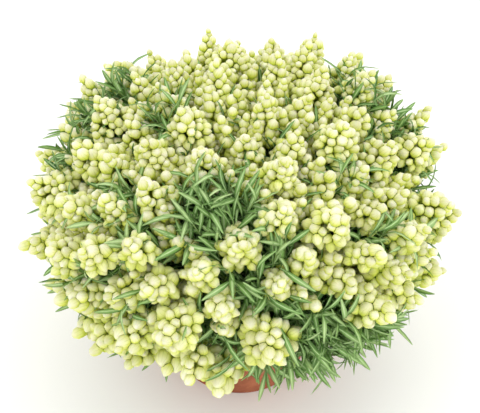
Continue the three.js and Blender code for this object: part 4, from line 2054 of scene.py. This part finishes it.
    def _understory(self) -> bpy.types.Object:
        """Build the leafy twigs that close the dome below its heads.

        Returns:
            The piece.
        """
        dome = self.layout.dome
        stems, blades = StemShapes(), []
        for place in dome.slots(self.inner_twigs, self.inner_share):
            start = self._start_near(place, self.inner_from)
            outward = dome.outward(place)
            end = place + outward * self.draw.uniform(-self.inner_reach, self.inner_reach)
            bend = start.lerp(end, 0.5) + outward * self.inner_reach
            shoot = Shoot(0, Course(start, bend, end), *self.inner_radii)
            blades += self._grow(stems, shoot, self.INSIDE)
        return self._piece("foliage_inner", stems, blades, [self.inner_shape])

    def _skirt(self) -> bpy.types.Object:
        """Build the leafy shoots that hang round the dome's lower edge.

        Returns:
            The piece.
        """
        stems, blades = StemShapes(), []
        for i in range(self.fringe):
            turn = 2 * math.pi * (i + self.draw.uniform(-self.fringe_turn, self.fringe_turn)) / self.fringe
            sine, share = self.draw.uniform(*self.fringe_sine), self.draw.uniform(*self.fringe_share)
            place = self.layout.dome.place(sine, turn, share)
            start = self._start_near(place, self.fringe_from)
            bend = start.lerp(place, self.fringe_bend) + UP * self.fringe_rise
            shoot = Shoot(0, Course(start, bend, place), *self.fringe_radii)
            blades += self._grow(stems, shoot, self.ON_SKIRT)
        return self._piece("foliage_skirt", stems, blades, self.shapes)

    def build(self) -> list[bpy.types.Object]:
        """Build all the leafy pieces."""
        branches = [self._branch(i) for i in range(self.layout.BRANCHES)]
        return [*branches, self._filling(), self._understory(), self._skirt()]


@dataclass
class ClayPan:
    """A plain turned clay pan with a heavy rim and three drain holes."""

    finish: bpy.types.Material
    sides: int = 96
    height: float = 104 * MM
    rim_radius: float = 96 * MM
    rim_height: float = 24 * MM
    body_top: float = 89 * MM
    base_radius: float = 69 * MM
    wall: float = 9 * MM
    floor: float = 9 * MM
    edge: float = 2 * MM
    base_ease: tuple[float, float] = (0.5 * MM, 0.6 * MM)
    neck_ease: tuple[float, float] = (0.6 * MM, 2 * MM)
    neck_flare: float = 0.4 * MM
    rim_ease: float = 1.2 * MM
    groove_depth: float = 0.6 * MM
    groove_heights: tuple[float, float, float] = (8 * MM, 9 * MM, 10 * MM)
    lip_ease: tuple[float, float] = (0.7 * MM, 0.6 * MM)
    inner_ease: float = 0.6 * MM
    drains: int = 3
    drain_radius: float = 5 * MM
    drain_ring: float = 40 * MM
    drain_sides: int = 20
    sharp_from: float = math.radians(40)

    def _profile(self) -> list[tuple[float, float]]:
        """Draw the pan's outline, from the base up the outside and down the inside.

        Returns:
            The radius and height of each ring.
        """
        base, body, rim, top = self.base_radius, self.body_top, self.rim_radius, self.height
        ledge = top - self.rim_height
        inner = rim - self.wall
        below, middle, above = (ledge + height for height in self.groove_heights)
        return [
            (base - self.edge, 0),
            (base - self.base_ease[0], self.base_ease[1]),
            (base, self.edge),
            (body - self.neck_ease[0], ledge - self.neck_ease[1]),
            (body + self.neck_flare, ledge),
            (rim - self.rim_ease, ledge),
            (rim, ledge + self.rim_ease),
            (rim, below),
            (rim - self.groove_depth, middle),
            (rim, above),
            (rim, top - self.edge),
            (rim - self.lip_ease[0], top - self.lip_ease[1]),
            (rim - self.edge, top),
            (inner + self.edge, top),
            (inner + self.inner_ease, top - self.inner_ease),
            (inner, top - self.edge),
            (inner, ledge),
            (base - self.wall, self.floor),
        ]

    def build(self) -> bpy.types.Object:
        """Build the pan: a disc drawn up ring by ring, then bored.

        Returns:
            The piece.
        """
        piece = Workshop.turned(self.sides, self._profile(), "terracotta_pan")
        for i in range(self.drains):
            self._bore(piece, 2 * math.pi * i / self.drains + math.pi / 2)
        Workshop.smooth(piece, self.sharp_from)
        piece.data.materials.append(self.finish)
        return settled(piece, Slot.CLAY, "clay_pan")

    def _bore(self, piece: bpy.types.Object, turn: float) -> None:
        """Bore one drain hole.

        Args:
            piece: The pan.
            turn: The hole's angle round the pan.
        """
        place = (self.drain_ring * math.cos(turn), self.drain_ring * math.sin(turn), self.floor / 2)
        Workshop.start()
        bpy.ops.mesh.primitive_cylinder_add(
            vertices=self.drain_sides, radius=self.drain_radius, depth=3 * self.floor, location=place
        )
        borer = bpy.context.object
        Workshop.only(piece)
        cut = piece.modifiers.new("drain", "BOOLEAN")
        cut.operation, cut.object, cut.solver = "DIFFERENCE", borer, "EXACT"
        bpy.ops.object.modifier_apply(modifier=cut.name)
        bpy.data.objects.remove(borer)


@dataclass
class Soil:
    """Crumbly soil in the pan."""

    finish: bpy.types.Material
    sides: int = 72
    rings: int = 14
    level: float = 92 * MM
    shoulder: float = 4 * MM
    fall: float = 1.5
    bottom: float = 9.35 * MM
    lower: float = 59.2 * MM
    ledge: float = 80 * MM
    upper: float = 86.0 * MM
    roughness: tuple[float, float] = (-1.2, 0.8)
    rough_from: float = 1e-5
    rough_margin: float = 1 * MM
    sharp_from: float = math.radians(50)
    crumbs: int = 420
    crumb_size: tuple[float, float] = (1.5, 5.0)
    crumb_form: tuple[float, float, float] = (1, 0.8, 0.7)
    crumb_unevenness: float = 0.1
    crumb_margin: float = 4 * MM
    crumb_rise: float = 0.15
    crumb_turn: float = 6
    seed: int = 3

    def _body(self) -> bpy.types.Object:
        """Model the body of the soil, drawn up ring by ring and roughened on top.

        Returns:
            The object.
        """
        edge = self.level - self.shoulder
        profile = [(self.lower, self.bottom), (self.upper, self.ledge), (self.upper, edge)]
        for i in range(1, self.rings):
            share = i / self.rings
            profile.append((self.upper * (1 - share), self.level - self.shoulder * (1 - share) ** self.fall))
        piece = Workshop.turned(self.sides, profile, "soil_bed")
        draw = random.Random(self.seed)
        lowest, widest = edge + self.rough_from, self.upper - self.rough_margin
        for vertex in piece.data.vertices:
            if vertex.co.z > lowest and vertex.co.xy.length < widest:
                vertex.co.z += draw.uniform(*self.roughness) * MM
        return piece

    def _crumb(self) -> Shape:
        """Model one crumb.

        Returns:
            The shape.
        """
        Workshop.start()
        bpy.ops.mesh.primitive_ico_sphere_add(subdivisions=1, radius=0.5)
        piece = Workshop.edit()
        bpy.ops.transform.vertex_random(offset=self.crumb_unevenness, seed=self.seed)
        Workshop.scale(*self.crumb_form, (0, 0, 0))
        return Shape.taken(Workshop.finish(piece, "crumb"), lambda co: PLAIN_UV)

    def _crumb_place(self, draw: random.Random) -> Matrix:
        """Draw the place of one crumb on the soil.

        Args:
            draw: The draws.

        Returns:
            The place, as a matrix.
        """
        radius = (self.upper - self.crumb_margin) * math.sqrt(draw.random())
        turn = draw.uniform(0, 2 * math.pi)
        size = draw.uniform(*self.crumb_size) * MM
        level = self.level - self.shoulder * (radius / self.upper) ** self.fall
        place = Matrix.Translation(
            (radius * math.cos(turn), radius * math.sin(turn), level + size * self.crumb_rise)
        )
        for axis in "ZX":
            place = place @ Matrix.Rotation(draw.uniform(0, self.crumb_turn), 4, axis)
        return place @ Matrix.Scale(size, 4)

    def build(self) -> list[bpy.types.Object]:
        """Build the soil and its crumbs.

        Returns:
            The pieces.
        """
        body = self._body()
        body.data.materials.append(self.finish)
        Workshop.smooth(body, self.sharp_from)
        draw = random.Random(self.seed)
        gathered = Gathered()
        places = [self._crumb_place(draw) for _ in range(self.crumbs)]
        gathered.add(self._crumb(), places, [Gathered.PLAIN] * self.crumbs)
        crumbs = gathered.piece("soil_crumbs", self.finish, Slot.SOIL)
        return [settled(body, Slot.SOIL, "soil"), crumbs]


@dataclass(frozen=True)
class Lamp:
    """One soft square lamp: its name, its place, the length of its sides and its power in watts."""

    name: str
    place: tuple[float, float, float]
    size: float
    power: float = 5


@dataclass
class Studio:
    """The pale floor, the soft light and the camera."""

    finish: bpy.types.Material
    elevation: float = math.radians(45)
    target: Vector = field(default_factory=lambda: Vector((0, 0, 0.214)))
    distance: float = 1.6
    frame_width: float = 0.480
    sensor: float = 36.0
    fit: float = 0.995
    floor_size: float = 8
    sky: float = 1.17
    lamps: tuple[Lamp, ...] = (
        Lamp("key", (-0.9, -1.0, 1.7), 1.2),
        Lamp("fill", (1.4, -0.8, 1.0), 1.4),
        Lamp("back", (0.2, 1.3, 1.2), 1.2),
    )

    def build(self) -> None:
        """Set up the stage."""
        self._camera()
        self._floor()
        self._light_sky()
        for lamp in self.lamps:
            self._hang(lamp)
        bpy.context.scene.view_settings.view_transform = "Standard"

    def _camera(self) -> None:
        """Place the camera at the photograph's angle."""
        data = bpy.data.cameras.new("camera")
        data.sensor_width = self.sensor
        data.lens = self.fit * self.sensor * self.distance / self.frame_width
        camera = bpy.data.objects.new("camera", data)
        back = Vector((0, -math.cos(self.elevation), math.sin(self.elevation)))
        camera.location = self.target + back * self.distance
        camera.rotation_euler = (-back).to_track_quat("-Z", "Y").to_euler()
        bpy.context.scene.collection.objects.link(camera)
        bpy.context.scene.camera = camera

    def _floor(self) -> None:
        """Lay the floor."""
        Workshop.start()
        bpy.ops.mesh.primitive_plane_add(size=self.floor_size)
        floor = bpy.context.object
        floor.name = "floor"
        floor.data.materials.append(self.finish)

    def _light_sky(self) -> None:
        """Light the plant evenly from all round."""
        world = bpy.data.worlds.new("studio")
        world.use_nodes = True
        background = world.node_tree.nodes["Background"]
        background.inputs[0].default_value = (1.0, 1.0, 1.0, 1.0)
        background.inputs[1].default_value = self.sky
        bpy.context.scene.world = world

    def _hang(self, lamp: Lamp) -> None:
        """Hang one lamp that faces the plant.

        Args:
            lamp: The lamp.
        """
        data = bpy.data.lights.new(lamp.name, "AREA")
        data.size, data.energy = lamp.size, lamp.power
        hung = bpy.data.objects.new(lamp.name, data)
        hung.location = lamp.place
        hung.rotation_euler = (self.target - Vector(lamp.place)).to_track_quat("-Z", "Y").to_euler()
        bpy.context.scene.collection.objects.link(hung)


def main() -> None:
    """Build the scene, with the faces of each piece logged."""
    logging.basicConfig(level=logging.INFO, format="%(name)s %(message)s")
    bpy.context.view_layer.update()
    effects = SharedEffects()
    Studio(FloorFinish(effects).build()).build()
    layout = Layout(Dome())
    ClayPan(ClayFinish(effects).build()).build()
    Soil(SoilFinish(effects).build()).build()
    calyces = [CalyxShape().model(), CalyxShape(rings=CalyxShape.LONGER, rib=0.87).model()]
    plain = CalyxShape(sides=6, rings=CalyxShape.PLAINER).model()
    flower_heads = FlowerHeads(layout, CalyxFinish(effects).build(), calyces, plain)
    leaves = [LeafShape(*bend).model() for bend in LeafShape.BENDS]
    inner = LeafShape(arch=0.07, hang=0.08, widths=LeafShape.FEWER).model()
    Foliage(layout, LeafFinish(effects).build(), leaves, inner).build()
    flower_heads.build()
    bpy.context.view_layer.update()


if __name__ == "__main__":
    main()
